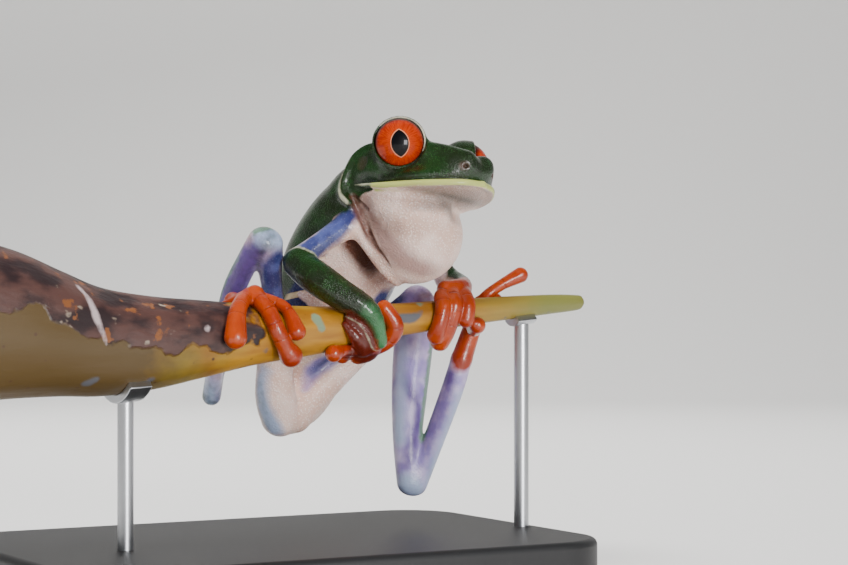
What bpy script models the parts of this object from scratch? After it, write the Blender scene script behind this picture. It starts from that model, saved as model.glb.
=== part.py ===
"""A calling red-eyed tree frog, life size, gripping a cut length of stem on a small display stand.

Coordinates and radii are in millimetres and pass through MM to metres. +Z is up and the floor is
Z = 0. The stem runs along X, the frog's trunk hangs behind it and its head looks over it, to -Y.
Each fleshy part is a set of tapering strokes and balls, fused and softened into one form.
"""

import math

import bmesh
import bpy
from mathutils import Matrix, Vector

MM = 0.001
GAP = 0.3  # clearance between neighbouring pieces
SKIN_VOXEL = 0.32  # grid on which the strokes and balls of a large part are fused
DIGIT_VOXEL = 0.2  # the same for hands and feet
HEAD_KEEP = 0.036  # share of the fused triangles kept
DIGIT_KEEP = 0.033
CLEARANCE_KEEP = 0.06

# Stem: (x, height of the axis, radius) along its length, sawn off square at its thick end
STEM_Y = -3.5
STEM_CUT_X = -36.0
STEM = (
    (-38.5, 27.3, 8.8),
    (-36.0, 27.0, 8.3),
    (-30.0, 26.4, 7.3),
    (-25.0, 25.4, 6.2),
    (-20.7, 24.5, 5.4),
    (-15.4, 24.3, 4.7),
    (-10.0, 24.6, 3.95),
    (-3.9, 25.0, 3.1),
    (2.4, 25.3, 2.55),
    (8.0, 25.8, 2.1),
    (13.0, 26.4, 1.75),
    (22.8, 27.3, 1.4),
    (31.0, 27.9, 1.1),
    (35.0, 28.1, 0.85),
    (35.7, 28.15, 0.6),
    (36.0, 28.15, 0.25),
)

# Display stand
BASE_SIZE = (60.0, 40.0, 4.0)
BASE_CORNER_RADIUS = 7.0
BASE_CORNER_STEPS = 5
BASE_EDGE_EASE = 0.7
ROD_X = (-18.0, 28.0)
ROD_RADIUS = 0.8
ROD_SIDES = 16
ROD_SOCKET_DEPTH = 2.5
SADDLE_LENGTH = 2.4
SADDLE_WALL = 0.8
SADDLE_SIDES = 28
SADDLE_LIP = 0.72  # how far up the stem's side the saddle reaches, as a share of its radius

# Head frame: origin midway between the eyes, x forward, y to the frog's left, z up
HEAD_ORIGIN = (15.8, -5.4, 43.6)
HEAD_YAW = -72.0
HEAD_PITCH = 9.0
HEAD_ROLL = -12.0
EYE_SIDE = 5.0
EYE_RADIUS = 2.72
EYE_GAP = 0.18
EYE_FORWARD = 38.0  # degrees that each eye's rim faces ahead of straight sideways
RIM_OUT = 1.1  # from the eye's centre out to the plane of its rim
RIM_CUT_DEPTH = 3.0
RIM_CUT_SIDES = 16
BROW_RADIUS = 3.25

# Inflated throat: (x, y, z, radius) stations
SAC = ((13.6, -2.6, 38.2, 4.5), (14.7, -3.4, 35.3, 5.15))

# Trunk from the neck down: (x, y, z, half width, half depth, turn of the width from +X)
TRUNK = (
    (14.9, -1.2, 42.2, 2.2, 1.4, 18.0),
    (14.5, -0.6, 41.0, 5.2, 3.0, 18.0),
    (13.9, 1.1, 39.2, 6.8, 4.2, 18.0),
    (12.8, 3.7, 36.6, 7.4, 5.0, 18.0),
    (11.8, 6.7, 32.6, 7.5, 5.4, 20.0),
    (11.0, 8.9, 28.0, 7.1, 5.1, 24.0),
    (10.1, 10.1, 23.6, 6.2, 4.4, 30.0),
    (8.9, 10.5, 19.6, 4.8, 3.5, 36.0),
    (7.6, 10.0, 16.8, 3.5, 2.6, 40.0),
    (7.0, 9.7, 15.4, 2.2, 1.6, 40.0),
    (6.8, 9.6, 14.8, 0.7, 0.5, 40.0),
)

# Where the thighs part, and a point along the right and the left one
CROTCH = ((5.3, 7.5, 15.2), (2.2, 4.4, 24.2), (13.6, 6.2, 23.4))

COLOURS = {
    "green": (0.03, 0.16, 0.03, 1.0),
    "cream": (0.85, 0.72, 0.66, 1.0),
    "blue": (0.16, 0.17, 0.5, 1.0),
    "pale": (0.7, 0.68, 0.74, 1.0),
    "orange": (0.85, 0.16, 0.02, 1.0),
    "red": (0.75, 0.06, 0.01, 1.0),
    "yellow": (0.62, 0.38, 0.05, 1.0),
    "black": (0.03, 0.03, 0.032, 1.0),
    "steel": (0.6, 0.6, 0.6, 1.0),
}


def collection(name):
    """A collection linked to the scene, made on first use."""
    found = bpy.data.collections.get(name)
    if not found:
        found = bpy.data.collections.new(name)
        bpy.context.scene.collection.children.link(found)
    return found


def finish_of(name, roughness=0.35, metallic=0.0):
    """A Principled material in one of the named colours."""
    material = bpy.data.materials.get(name)
    if not material:
        material = bpy.data.materials.new(name)
        material.use_nodes = True
        surface = material.node_tree.nodes["Principled BSDF"]
        surface.inputs["Base Color"].default_value = COLOURS[name]
        surface.inputs["Roughness"].default_value = roughness
        surface.inputs["Metallic"].default_value = metallic
    return material


def finished_mesh(name, form):
    """A mesh made from a bmesh, which is freed."""
    mesh = bpy.data.meshes.new(name)
    form.to_mesh(mesh)
    form.free()
    return mesh


def placed(name, mesh, colour=None, metallic=0.0):
    """An object for a mesh: a piece of the frog or stand, or without a colour a cutter."""
    thing = bpy.data.objects.new(name, mesh)
    if colour:
        collection("red_eyed_tree_frog").objects.link(thing)
        mesh.materials.append(finish_of(colour, metallic=metallic))
        mesh.shade_smooth()
        mesh.set_sharp_from_angle(angle=math.radians(50.0))
    else:
        collection("cutters").objects.link(thing)
        thing.hide_render = True
        thing.display_type = "WIRE"
    return thing


def evaluated_mesh(thing):
    """The mesh of an object after its curve settings and modifiers."""
    graph = bpy.context.evaluated_depsgraph_get()
    return bpy.data.meshes.new_from_object(thing.evaluated_get(graph))


def smooth_run(stations, steps):
    """Stations joined by a Catmull-Rom curve, with this many samples to each span."""
    held = [stations[0], *stations, stations[-1]]
    run = []
    for before, start, end, after in zip(held, held[1:], held[2:], held[3:]):
        for step in range(steps):
            t = step / steps
            run.append(
                tuple(
                    0.5 * (2 * b + (c - a) * t + (2 * a - 5 * b + 4 * c - d) * t**2
                           + (3 * b - 3 * c + d - a) * t**3)
                    for a, b, c, d in zip(before, start, end, after)
                )
            )
    run.append(tuple(stations[-1]))
    return run


def rounded(run, rings):
    """A run of (x, y, z, radius) stations with a half ball of this many rings at each end."""
    ends = []
    for end, beside in ((run[0], run[1]), (run[-1], run[-2])):
        point = Vector(end[:3])
        out = (point - Vector(beside[:3])).normalized()
        turns = [math.radians(84.0) * (ring + 1) / rings for ring in range(rings)]
        cap = [
            (*(point + out * end[3] * math.sin(turn)), end[3] * math.cos(turn)) for turn in turns
        ]
        ends.append(cap)
    return ends[0][::-1] + list(run) + ends[1]


def stroke_mesh(strokes, grow, sides=3, steps=3, rings=3):
    """Round tapering lengths through (x, y, z, radius) stations, as one mesh with welded caps."""
    curve = bpy.data.curves.new("strokes", "CURVE")
    curve.dimensions = "3D"
    curve.bevel_depth = MM
    curve.bevel_resolution = sides
    curve.use_fill_caps = True
    for stations in strokes:
        run = smooth_run([(x, y, z, radius + grow) for x, y, z, radius in stations], steps)
        if rings:
            run = rounded(run, rings)
        spline = curve.splines.new("POLY")
        spline.points.add(len(run) - 1)
        for knot, (x, y, z, radius) in zip(spline.points, run):
            knot.co = (x * MM, y * MM, z * MM, 1.0)
            knot.radius = radius
    guide = bpy.data.objects.new("strokes", curve)
    bpy.context.scene.collection.objects.link(guide)
    mesh = evaluated_mesh(guide)
    bpy.data.objects.remove(guide)
    form = bmesh.new()
    form.from_mesh(mesh)
    bmesh.ops.remove_doubles(form, verts=form.verts, dist=0.00001)
    bmesh.ops.recalc_face_normals(form, faces=form.faces)
    form.to_mesh(mesh)
    form.free()
    return mesh


def flesh_mesh(strokes, balls, grow):
    """Strokes, and free ellipsoids given as (matrix, radii), overlapping in one mesh."""
    form = bmesh.new()
    if strokes:
        form.from_mesh(stroke_mesh(strokes, grow))
    for frame, radii in balls:
        size = Matrix.Diagonal([radius + grow for radius in radii] + [1.0])
        to_metres = Matrix.Scale(MM, 4)
        bmesh.ops.create_uvsphere(
            form, u_segments=20, v_segments=12, radius=1.0, matrix=to_metres @ frame @ size
        )
    return finished_mesh("flesh", form)


def loft_mesh(stations, grow, sides=12, steps=2):
    """Ellipses swept through (x, y, z, half width, half depth, turn) stations, rounded at both ends.

    The width of each ellipse lies level at its turn from +X; the depth crosses the path.
    """
    run = smooth_run(stations, steps)
    form = bmesh.new()
    rings = []
    for number, (x, y, z, width, depth, turn) in enumerate(run):
        ahead = Vector(run[max(number - 1, 0)][:3])
        behind = Vector(run[min(number + 1, len(run) - 1)][:3])
        up = (ahead - behind).normalized()
        level = Vector((math.cos(math.radians(turn)), math.sin(math.radians(turn)), 0.0))
        through = up.cross(level).normalized()
        across = through.cross(up)
        ring = []
        for side in range(sides):
            angle = math.tau * side / sides
            out = across * (width + grow) * math.cos(angle)
            out += through * (depth + grow) * math.sin(angle)
            ring.append(form.verts.new((Vector((x, y, z)) + out) * MM))
        rings.append(ring)
    for upper, lower in zip(rings, rings[1:]):
        for side in range(sides):
            after = (side + 1) % sides
            form.faces.new((upper[side], upper[after], lower[after], lower[side]))
    form.faces.new(rings[0])
    form.faces.new(rings[-1])
    bmesh.ops.recalc_face_normals(form, faces=form.faces)
    return finished_mesh("loft", form)


def fused(thing, voxel, keep, soften=4):
    """Fuses the overlapping forms of a piece, softens their joins and thins the triangles."""
    fuse = thing.modifiers.new("Fuse", "REMESH")
    fuse.mode = "VOXEL"
    fuse.voxel_size = voxel * MM
    fuse.use_smooth_shade = True
    soft = thing.modifiers.new("Soften", "SMOOTH")
    soft.factor = 0.5
    soft.iterations = soften
    thin = thing.modifiers.new("Thin", "DECIMATE")
    thin.ratio = keep
    return thing


def cut(thing, cutter):
    """Takes a cutter's volume out of a piece."""
    boolean = thing.modifiers.new("Clear " + cutter.name, "BOOLEAN")
    boolean.operation = "DIFFERENCE"
    boolean.solver = "EXACT"
    boolean.object = cutter


def flesh(name, colour, strokes, balls=(), voxel=SKIN_VOXEL, keep=HEAD_KEEP, soften=4, clear_of=()):
    """One fleshy piece, kept clear of the cutters named."""
    thing = fused(placed(name, flesh_mesh(strokes, balls, 0.0), colour), voxel, keep, soften)
    for cutter in clear_of:
        cut(thing, cutter)
    return thing


def limb(name, colour, stations, clear_of=()):
    """One round tapering length of a limb, kept clear of the cutters given."""
    thing = placed(name, stroke_mesh([stations], 0.0), colour)
    for cutter in clear_of:
        cut(thing, cutter)
    return thing


def clearance(name, strokes, balls):
    """The cutter that keeps neighbours a gap away from a fleshy piece."""
    return fused(placed(name, flesh_mesh(strokes, balls, GAP)), SKIN_VOXEL, CLEARANCE_KEEP)


def part_at(joint, first, second):
    """Two cutters that part two lengths at a joint, along the plane that halves their angle.

    Each is a large block on the far side of the plane, half a gap short of it.
    """
    joint, first, second = Vector(joint), Vector(first), Vector(second)
    normal = ((first - joint).normalized() - (second - joint).normalized()).normalized()
    blocks = []
    for side in (1.0, -1.0):
        size = 44.0
        middle = joint - normal * side * (size - GAP) / 2.0
        turn = normal.to_track_quat("Z", "Y").to_matrix().to_4x4()
        form = bmesh.new()
        bmesh.ops.create_cube(form, size=size * MM, matrix=Matrix.Translation(middle * MM) @ turn)
        blocks.append(placed("block", finished_mesh("block", form)))
    return blocks


def stem_at(x):
    """Height of the stem's axis and its radius at x."""
    for (x0, z0, r0), (x1, z1, r1) in zip(STEM, STEM[1:]):
        if x <= x1:
            share = (x - x0) / (x1 - x0)
            return z0 + (z1 - z0) * share, r0 + (r1 - r0) * share
    return STEM[-1][1], STEM[-1][2]


def grip(x, angle, radius, lift=0.0):
    """A point of a digit laid round the stem: 0 degrees is its front, 90 its top, 180 its back."""
    height, stem_radius = stem_at(x)
    reach = stem_radius + radius + GAP / 2.0 + lift
    turn = math.radians(angle)
    return (
        x,
        STEM_Y - reach * math.cos(turn),
        height + reach * math.sin(turn),
        radius,
    )


def head_frame():
    """The head's own axes in the world, in millimetres."""
    return (
        Matrix.Translation(HEAD_ORIGIN)
        @ Matrix.Rotation(math.radians(HEAD_YAW), 4, "Z")
        @ Matrix.Rotation(math.radians(-HEAD_PITCH), 4, "Y")
        @ Matrix.Rotation(math.radians(HEAD_ROLL), 4, "X")
    )


def in_head(points):
    """Head-frame stroke points carried to the world."""
    frame = head_frame()
    return [(*(frame @ Vector(point[:3])), point[3]) for point in points]


def mirrored(points):
    """The other side's stroke, in the head frame."""
    return [(x, -y, z, radius) for x, y, z, radius in points]


def cylinder_mesh(name, sides, radius, length, frame):
    """A closed round bar, centred on a frame given in metres and running along its z."""
    form = bmesh.new()
    bmesh.ops.create_cone(
        form, cap_ends=True, segments=sides, radius1=radius * MM, radius2=radius * MM,
        depth=length * MM, matrix=frame,
    )
    return finished_mesh(name, form)


def stem():
    """The cut length of stem; returns the cutter that keeps its neighbours clear."""

    def stem_mesh(grow):
        spine = [(x, STEM_Y, z, radius) for x, z, radius in STEM]
        form = bmesh.new()
        form.from_mesh(stroke_mesh([spine], grow, sides=4, steps=2, rings=0))
        bmesh.ops.bisect_plane(
            form, geom=form.verts[:] + form.edges[:] + form.faces[:], clear_inner=True,
            plane_co=Vector((STEM_CUT_X, 0.0, 0.0)) * MM, plane_no=Vector((1.0, 0.0, 0.0)),
        )
        bmesh.ops.holes_fill(form, edges=[edge for edge in form.edges if edge.is_boundary])
        bmesh.ops.recalc_face_normals(form, faces=form.faces)
        return finished_mesh("stem", form)

    placed("perch", stem_mesh(0.0), "yellow")
    return placed("stem_clearance", stem_mesh(GAP))


def stand_base():
    """The flat base plate, with round corners and an eased edge."""
    form = bmesh.new()
    bmesh.ops.create_cube(form, size=1.0)
    bmesh.ops.scale(form, vec=Vector(BASE_SIZE) * MM, verts=form.verts)
    raised = Vector((0.0, 0.0, BASE_SIZE[2] / 2.0)) * MM
    bmesh.ops.translate(form, vec=raised, verts=form.verts)
    corners = [
        edge for edge in form.edges if abs(edge.verts[0].co.z - edge.verts[1].co.z) > MM
    ]
    bmesh.ops.bevel(
        form, geom=corners, offset=BASE_CORNER_RADIUS * MM, segments=BASE_CORNER_STEPS,
        profile=0.5, affect="EDGES",
    )
    base = placed("stand_base", finished_mesh("stand_base", form), "black")
    edge = base.modifiers.new("Eased edges", "BEVEL")
    edge.width = BASE_EDGE_EASE * MM
    edge.segments = 1
    edge.limit_method = "ANGLE"
    return base


def stand_rod(name, x, base, stem_clear):
    """One upright rod, let into the base and ending in a saddle under the stem."""
    height, radius = stem_at(x)
    foot = BASE_SIZE[2] - ROD_SOCKET_DEPTH + GAP
    top = height - radius
    upright = Matrix.Translation(Vector((x, STEM_Y, (foot + top) / 2.0)) * MM)
    mesh = cylinder_mesh(name, ROD_SIDES, ROD_RADIUS, top - foot, upright)
    rod = placed(name, mesh, "steel", metallic=1.0)

    form = bmesh.new()
    along = Matrix.Translation(Vector((x, STEM_Y, height)) * MM)
    along @= Matrix.Rotation(math.radians(90.0), 4, "Y")
    outer = radius + GAP + SADDLE_WALL
    form.from_mesh(cylinder_mesh("saddle", SADDLE_SIDES, outer, SADDLE_LENGTH, along))
    bmesh.ops.bisect_plane(
        form, geom=form.verts[:] + form.edges[:] + form.faces[:], clear_outer=True,
        plane_co=Vector((x, STEM_Y, height - radius * SADDLE_LIP)) * MM,
        plane_no=Vector((0.0, 0.0, 1.0)),
    )
    bmesh.ops.holes_fill(form, edges=[edge for edge in form.edges if edge.is_boundary])
    join = rod.modifiers.new("Saddle", "BOOLEAN")
    join.operation = "UNION"
    join.solver = "EXACT"
    join.object = placed("saddle_" + name, finished_mesh("saddle", form))
    cut(rod, stem_clear)

    mouth = Matrix.Translation(Vector((x, STEM_Y, BASE_SIZE[2])) * MM)
    socket = cylinder_mesh("socket", ROD_SIDES, ROD_RADIUS + GAP, 2.0 * ROD_SOCKET_DEPTH, mouth)
    cut(base, placed("socket_" + name, socket))


def head_forms():
    """Strokes and ellipsoids of the head: skull, brows, snout ridges, lip and lower jaw."""
    frame = head_frame()

    def ball(x, y, z, length, width, height):
        return (frame @ Matrix.Translation((x, y, z)), (length, width, height))

    lip = [
        (-6.6, 5.9, -4.5, 0.8),
        (-3.6, 6.5, -4.5, 0.85),
        (0.6, 5.6, -4.35, 0.85),
        (4.4, 3.6, -4.15, 0.8),
        (6.5, 0.0, -4.05, 0.8),
    ]
    lip += [(x, -y, z, radius) for x, y, z, radius in lip[-2::-1]]
    ridge = [(1.4, 3.9, -0.9, 1.3), (4.0, 2.6, -1.5, 1.2), (5.9, 1.3, -2.1, 1.1)]
    strokes = [in_head(lip), in_head(ridge), in_head(mirrored(ridge))]
    brow = [BROW_RADIUS] * 3
    balls = [
        ball(-2.6, 0.0, -2.4, 6.9, 6.2, 2.9),
        ball(2.6, 0.0, -2.9, 4.5, 4.3, 2.1),
        ball(-0.8, 0.0, -4.6, 7.3, 6.6, 1.5),
        ball(-0.4, 0.0, -5.0, 6.0, 5.5, 1.45),
        ball(-7.2, 0.0, -3.0, 3.6, 5.9, 3.3),
        ball(0.0, EYE_SIDE, 0.0, *brow),
        ball(0.0, -EYE_SIDE, 0.0, *brow),
    ]
    return strokes, balls


def eyes(head):
    """Two eyeballs, each in a socket that opens at the rim of its lids."""
    to_metres = Matrix.Scale(MM, 4)
    for name, side in (("eye_left", 1.0), ("eye_right", -1.0)):
        centre = head_frame() @ Matrix.Translation((0.0, EYE_SIDE * side, 0.0))
        form = bmesh.new()
        bmesh.ops.create_icosphere(
            form, subdivisions=3, radius=EYE_RADIUS, matrix=to_metres @ centre
        )
        placed(name, finished_mesh(name, form), "red")

        form = bmesh.new()
        bmesh.ops.create_icosphere(
            form, subdivisions=3, radius=EYE_RADIUS + EYE_GAP, matrix=to_metres @ centre
        )
        cut(head, placed("socket_" + name, finished_mesh("socket", form)))

        facing = Matrix.Rotation(math.radians(side * (90.0 - EYE_FORWARD)), 4, "Z")
        facing @= Matrix.Rotation(math.radians(90.0), 4, "Y")
        facing @= Matrix.Translation((0.0, 0.0, RIM_OUT + RIM_CUT_DEPTH / 2.0))
        form = bmesh.new()
        bmesh.ops.create_cone(
            form, cap_ends=True, segments=RIM_CUT_SIDES, radius1=BROW_RADIUS + GAP,
            radius2=BROW_RADIUS + GAP, depth=RIM_CUT_DEPTH, matrix=to_metres @ centre @ facing,
        )
        cut(head, placed("rim_" + name, finished_mesh("rim", form)))


def arm(side, shoulder, elbow, wrist, hand, clear_of):
    """Upper arm, forearm and four-fingered hand, parted at the elbow and wrist."""
    upper_block, fore_block = part_at(elbow["at"], shoulder[0][:3], elbow["next"])
    fore_end, hand_block = part_at(wrist["at"], wrist["before"], wrist["next"])
    limb("upper_arm_" + side, "blue", shoulder, [*clear_of["body"], upper_block])
    limb("forearm_" + side, "green", elbow["stroke"], [fore_block, fore_end, clear_of["stem"]])
    flesh(
        "hand_" + side, "orange", hand, voxel=DIGIT_VOXEL, keep=DIGIT_KEEP, soften=2,
        clear_of=[hand_block, clear_of["stem"]],
    )


def leg(side, thigh, shank, tarsus, foot, heel, ankle, knee, crotch, clear_of):
    """Thigh, shank, tarsus and long-toed foot, parted at the knee, heel and ankle."""
    thigh_block, shank_block = part_at(knee, thigh[0][:3], shank[2][:3])
    shank_end, tarsus_block = part_at(heel, shank[-2][:3], tarsus[1][:3])
    tarsus_end, foot_block = part_at(ankle, tarsus[-2][:3], foot[0][1][:3])
    limb("thigh_" + side, "pale", thigh, [*clear_of["body"], thigh_block, crotch])
    limb("shank_" + side, "blue", shank, [shank_block, shank_end])
    limb("tarsus_" + side, "pale", tarsus, [tarsus_block, tarsus_end])
    flesh(
        "foot_" + side, "orange", foot, voxel=DIGIT_VOXEL, keep=DIGIT_KEEP, soften=2,
        clear_of=[foot_block, clear_of["stem"]],
    )


def right_arm(clear_of):
    """The near arm, raised to its elbow and reaching down to the front of the stem."""
    arm(
        "right",
        shoulder=[
            (10.0, 0.6, 37.4, 1.8),
            (8.4, -1.3, 36.6, 1.5),
            (5.0, -1.5, 34.6, 1.15),
            (2.0, -1.0, 32.9, 1.3),
        ],
        elbow={
            "at": (1.8, -1.0, 32.5),
            "next": (4.8, -5.2, 29.2),
            "stroke": [
                (2.1, -1.1, 32.3, 1.6),
                (3.0, -3.1, 31.0, 1.75),
                (4.8, -5.3, 29.2, 1.6),
                (7.4, -6.9, 27.2, 1.25),
                (8.9, -6.5, 24.2, 0.75),
            ],
        },
        wrist={"at": (8.8, -6.6, 24.5), "before": (7.4, -6.9, 27.2), "next": (8.9, -5.4, 23.4)},
        hand=[
            [(8.8, -6.5, 24.6, 0.8), grip(8.6, -66, 1.0), grip(7.8, -84, 1.0)],
            [grip(8.2, -66, 0.75), grip(6.4, -58, 0.65), grip(5.0, -52, 0.65), grip(4.0, -48, 0.9)],
            [grip(8.0, -88, 0.75), grip(6.8, -82, 0.65), grip(5.7, -74, 0.8)],
            [grip(9.2, -76, 0.8), grip(10.6, -46, 0.8), grip(11.0, -8, 0.85), grip(9.9, 37, 0.85)],
            [grip(9.0, -96, 0.8), grip(10.0, -140, 0.7), grip(10.5, 180, 0.7), grip(10.4, 150, 0.9)],
        ],
        clear_of=clear_of,
    )


def left_arm(clear_of):
    """The far arm, bent behind the stem with its hand over the top."""
    arm(
        "left",
        shoulder=[
            (17.4, 2.2, 37.0, 1.8),
            (18.8, 2.6, 36.0, 1.4),
            (20.8, 3.6, 33.6, 1.15),
            (22.6, 3.6, 31.0, 1.25),
        ],
        elbow={
            "at": (22.8, 3.7, 30.7),
            "next": (23.1, 1.6, 30.1),
            "stroke": [
                (22.9, 3.6, 30.6, 1.25),
                (23.1, 2.4, 30.3, 1.25),
                (23.0, 0.8, 30.0, 1.1),
                (22.2, -1.0, 29.9, 0.9),
            ],
        },
        wrist={"at": (22.2, -1.0, 29.9), "before": (23.0, 0.8, 30.0), "next": (20.6, -2.6, 30.0)},
        hand=[
            [(22.2, -1.0, 29.9, 0.9), grip(20.6, 100, 1.1, 0.1), grip(18.4, 84, 1.0, 0.2)],
            [
                grip(18.4, 84, 0.85), grip(17.2, 60, 0.8), grip(16.8, 27, 0.85),
                grip(16.1, -22, 0.8), grip(15.9, -60, 0.95),
            ],
            [
                grip(19.4, 88, 0.85), grip(18.6, 60, 0.85), grip(18.3, 23, 0.9),
                grip(17.8, -43, 0.85), (17.4, -4.2, 24.1, 1.05),
            ],
            [grip(20.6, 88, 0.8), grip(20.2, 55, 0.8), grip(19.9, 20, 0.9), grip(19.7, -16, 0.9)],
            [grip(20.4, 105, 0.8), grip(20.2, 135, 0.7), grip(19.8, 170, 0.7), grip(19.4, 190, 0.9)],
        ],
        clear_of=clear_of,
    )


def right_leg(crotch, clear_of):
    """The near leg, folded beside the trunk with its foot on the stem."""
    leg(
        "right",
        thigh=[
            (4.4, 7.4, 15.9, 2.1),
            (3.4, 6.6, 18.6, 2.15),
            (2.2, 4.4, 24.2, 1.6),
            (0.8, 2.2, 30.0, 1.1),
            (-0.5, 0.8, 34.2, 1.75),
        ],
        shank=[
            (-1.0, 0.8, 34.4, 1.6),
            (-1.9, 2.2, 32.6, 1.2),
            (-2.4, 5.0, 29.0, 1.2),
            (-2.2, 8.6, 23.0, 1.05),
            (-2.0, 11.0, 18.2, 0.9),
        ],
        tarsus=[
            (-2.0, 11.0, 18.1, 0.85),
            (-3.0, 7.6, 21.8, 0.85),
            (-4.0, 3.4, 26.2, 0.85),
            (-4.4, 0.6, 28.4, 0.85),
        ],
        foot=[
            [(-4.4, 0.6, 28.4, 0.9), grip(-4.4, 125, 1.0), grip(-4.2, 82, 1.0, 0.1)],
            [grip(-4.4, 95, 0.85), grip(-6.0, 66, 0.8), grip(-7.6, 34, 0.9), grip(-8.3, 2, 1.15)],
            [
                grip(-4.4, 80, 0.9), grip(-3.9, 45, 0.85), grip(-3.3, 10, 0.85),
                grip(-2.3, -18, 0.9), grip(-1.5, -33, 1.2),
            ],
            [grip(-3.6, 84, 0.75), grip(-2.0, 60, 0.65), grip(-1.4, 40, 0.65), grip(-1.0, 4, 0.95)],
            [grip(-5.0, 125, 0.8), grip(-7.4, 145, 0.65), grip(-9.6, 150, 0.65), grip(-10.2, 152, 0.9)],
            [grip(-4.0, 125, 0.8), grip(-1.8, 138, 0.65), grip(0.0, 150, 0.65), grip(0.6, 154, 0.9)],
        ],
        knee=(-0.8, 0.7, 34.6),
        heel=(-2.0, 11.2, 17.9),
        ankle=(-4.3, 1.0, 28.1),
        crotch=crotch,
        clear_of=clear_of,
    )


def left_leg(crotch, clear_of):
    """The far leg, hanging below the stem and gripping it from behind."""
    leg(
        "left",
        thigh=[
            (6.2, 7.6, 16.0, 1.9),
            (9.0, 7.3, 18.9, 1.85),
            (13.6, 6.2, 23.4, 1.7),
            (17.2, 5.0, 26.5, 1.6),
            (19.4, 4.3, 28.2, 1.7),
        ],
        shank=[
            (19.6, 4.3, 28.1, 1.8),
            (19.2, 4.2, 25.4, 2.15),
            (18.4, 3.9, 19.4, 2.0),
            (17.9, 3.6, 13.4, 1.6),
            (18.0, 3.2, 8.7, 1.45),
        ],
        tarsus=[
            (18.6, 3.0, 8.5, 1.25),
            (19.9, 1.9, 12.6, 1.15),
            (21.5, 0.5, 18.2, 1.2),
            (22.4, -0.3, 22.0, 1.15),
        ],
        foot=[
            [
                (22.4, -0.3, 22.0, 1.15), (23.1, -0.7, 24.4, 1.05), grip(23.7, 190, 0.95),
                grip(24.0, 165, 0.9),
            ],
            [
                grip(24.0, 165, 0.8), grip(24.6, 125, 0.65, 0.1), (25.9, -2.7, 30.0, 0.6),
                (28.2, -3.0, 31.1, 0.85),
            ],
            [grip(23.6, 200, 0.8), grip(22.6, 235, 0.7), grip(21.9, 275, 0.7), grip(21.4, 320, 0.9)],
            [grip(23.8, 195, 0.8), grip(25.4, 191, 0.65), grip(26.8, 181, 0.65), grip(27.4, 176, 0.85)],
            [grip(23.8, 170, 0.8), grip(24.6, 156, 0.65), grip(25.3, 153, 0.65), grip(25.8, 152, 0.72)],
            [grip(23.6, 188, 0.8), grip(22.4, 190, 0.65), grip(21.7, 192, 0.72)],
        ],
        knee=(19.9, 4.2, 28.9),
        heel=(18.3, 2.9, 7.9),
        ankle=(22.3, -0.25, 21.6),
        crotch=crotch,
        clear_of=clear_of,
    )


def main():
    for thing in list(bpy.data.objects):
        bpy.data.objects.remove(thing)
    stem_clear = stem()
    base = stand_base()
    for name, x in zip(("stand_rod_left", "stand_rod_right"), ROD_X):
        stand_rod(name, x, base, stem_clear)

    strokes, balls = head_forms()
    head = flesh("head", "green", strokes, balls)
    eyes(head)
    head_clear = clearance("head_clearance", strokes, balls)

    trunk = placed("trunk", loft_mesh(TRUNK, 0.0), "cream")
    cut(trunk, head_clear)
    trunk_clear = placed("trunk_clearance", loft_mesh(TRUNK, GAP))

    sac = placed("vocal_sac", stroke_mesh([SAC], 0.0, sides=6, rings=5), "cream")
    cut(sac, head_clear)
    cut(sac, trunk_clear)
    sac_clear = placed("sac_clearance", stroke_mesh([SAC], GAP, sides=6, rings=5))
    clear_of = {"body": [trunk_clear, sac_clear, head_clear], "stem": stem_clear}

    right_arm(clear_of)
    left_arm(clear_of)
    crotch_right, crotch_left = part_at(*CROTCH)
    right_leg(crotch_right, clear_of)
    left_leg(crotch_left, clear_of)


main()
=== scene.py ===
"""A calling red-eyed tree frog, life size, gripping a cut length of stem held over a display stand."""

import math

import bmesh
import bpy
import numpy as np
from mathutils import Matrix, Vector


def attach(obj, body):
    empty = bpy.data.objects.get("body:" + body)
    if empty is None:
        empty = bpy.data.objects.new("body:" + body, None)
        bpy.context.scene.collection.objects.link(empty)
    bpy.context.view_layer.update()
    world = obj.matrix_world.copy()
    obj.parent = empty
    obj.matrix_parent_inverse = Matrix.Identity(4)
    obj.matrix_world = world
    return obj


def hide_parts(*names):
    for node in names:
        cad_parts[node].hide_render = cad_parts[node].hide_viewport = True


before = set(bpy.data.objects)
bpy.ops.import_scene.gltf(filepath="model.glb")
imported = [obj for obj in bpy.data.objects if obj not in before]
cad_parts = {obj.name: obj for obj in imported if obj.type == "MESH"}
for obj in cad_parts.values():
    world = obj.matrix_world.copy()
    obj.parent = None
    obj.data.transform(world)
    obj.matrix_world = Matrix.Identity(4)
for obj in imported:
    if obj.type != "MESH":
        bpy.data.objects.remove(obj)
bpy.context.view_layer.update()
MM = 0.001


# ---------------------------------------------------------------- cut stem
# The cut length of plant stem that the frog grips. One tapering round stem, sawn square at its
# thick end, with faint ridges along it, leaf scars and flaking brown skin on its upper side.
STEM_Y = -3.5
# along the stem: x, height of its axis, radius
STEM = (
    (-36.0, 27.0, 8.3),
    (-30.0, 26.4, 7.3),
    (-25.0, 25.4, 6.2),
    (-20.7, 24.5, 5.4),
    (-15.4, 24.3, 4.7),
    (-10.0, 24.6, 3.95),
    (-3.9, 25.0, 3.1),
    (2.4, 25.3, 2.55),
    (8.0, 25.8, 2.1),
    (13.0, 26.4, 1.75),
    (22.8, 27.3, 1.4),
    (31.0, 27.9, 1.1),
    (35.0, 28.1, 0.85),
    (35.7, 28.15, 0.6),
    (36.0, 28.15, 0.25),
)
STEM_AROUND = 96
FACE_DISH = 0.12
FACE_RINGS = (0.97, 0.93, 0.88, 0.8, 0.5, 0.2, 0.001)
SAWN_X, _, SAWN_RADIUS = STEM[0]
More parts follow.
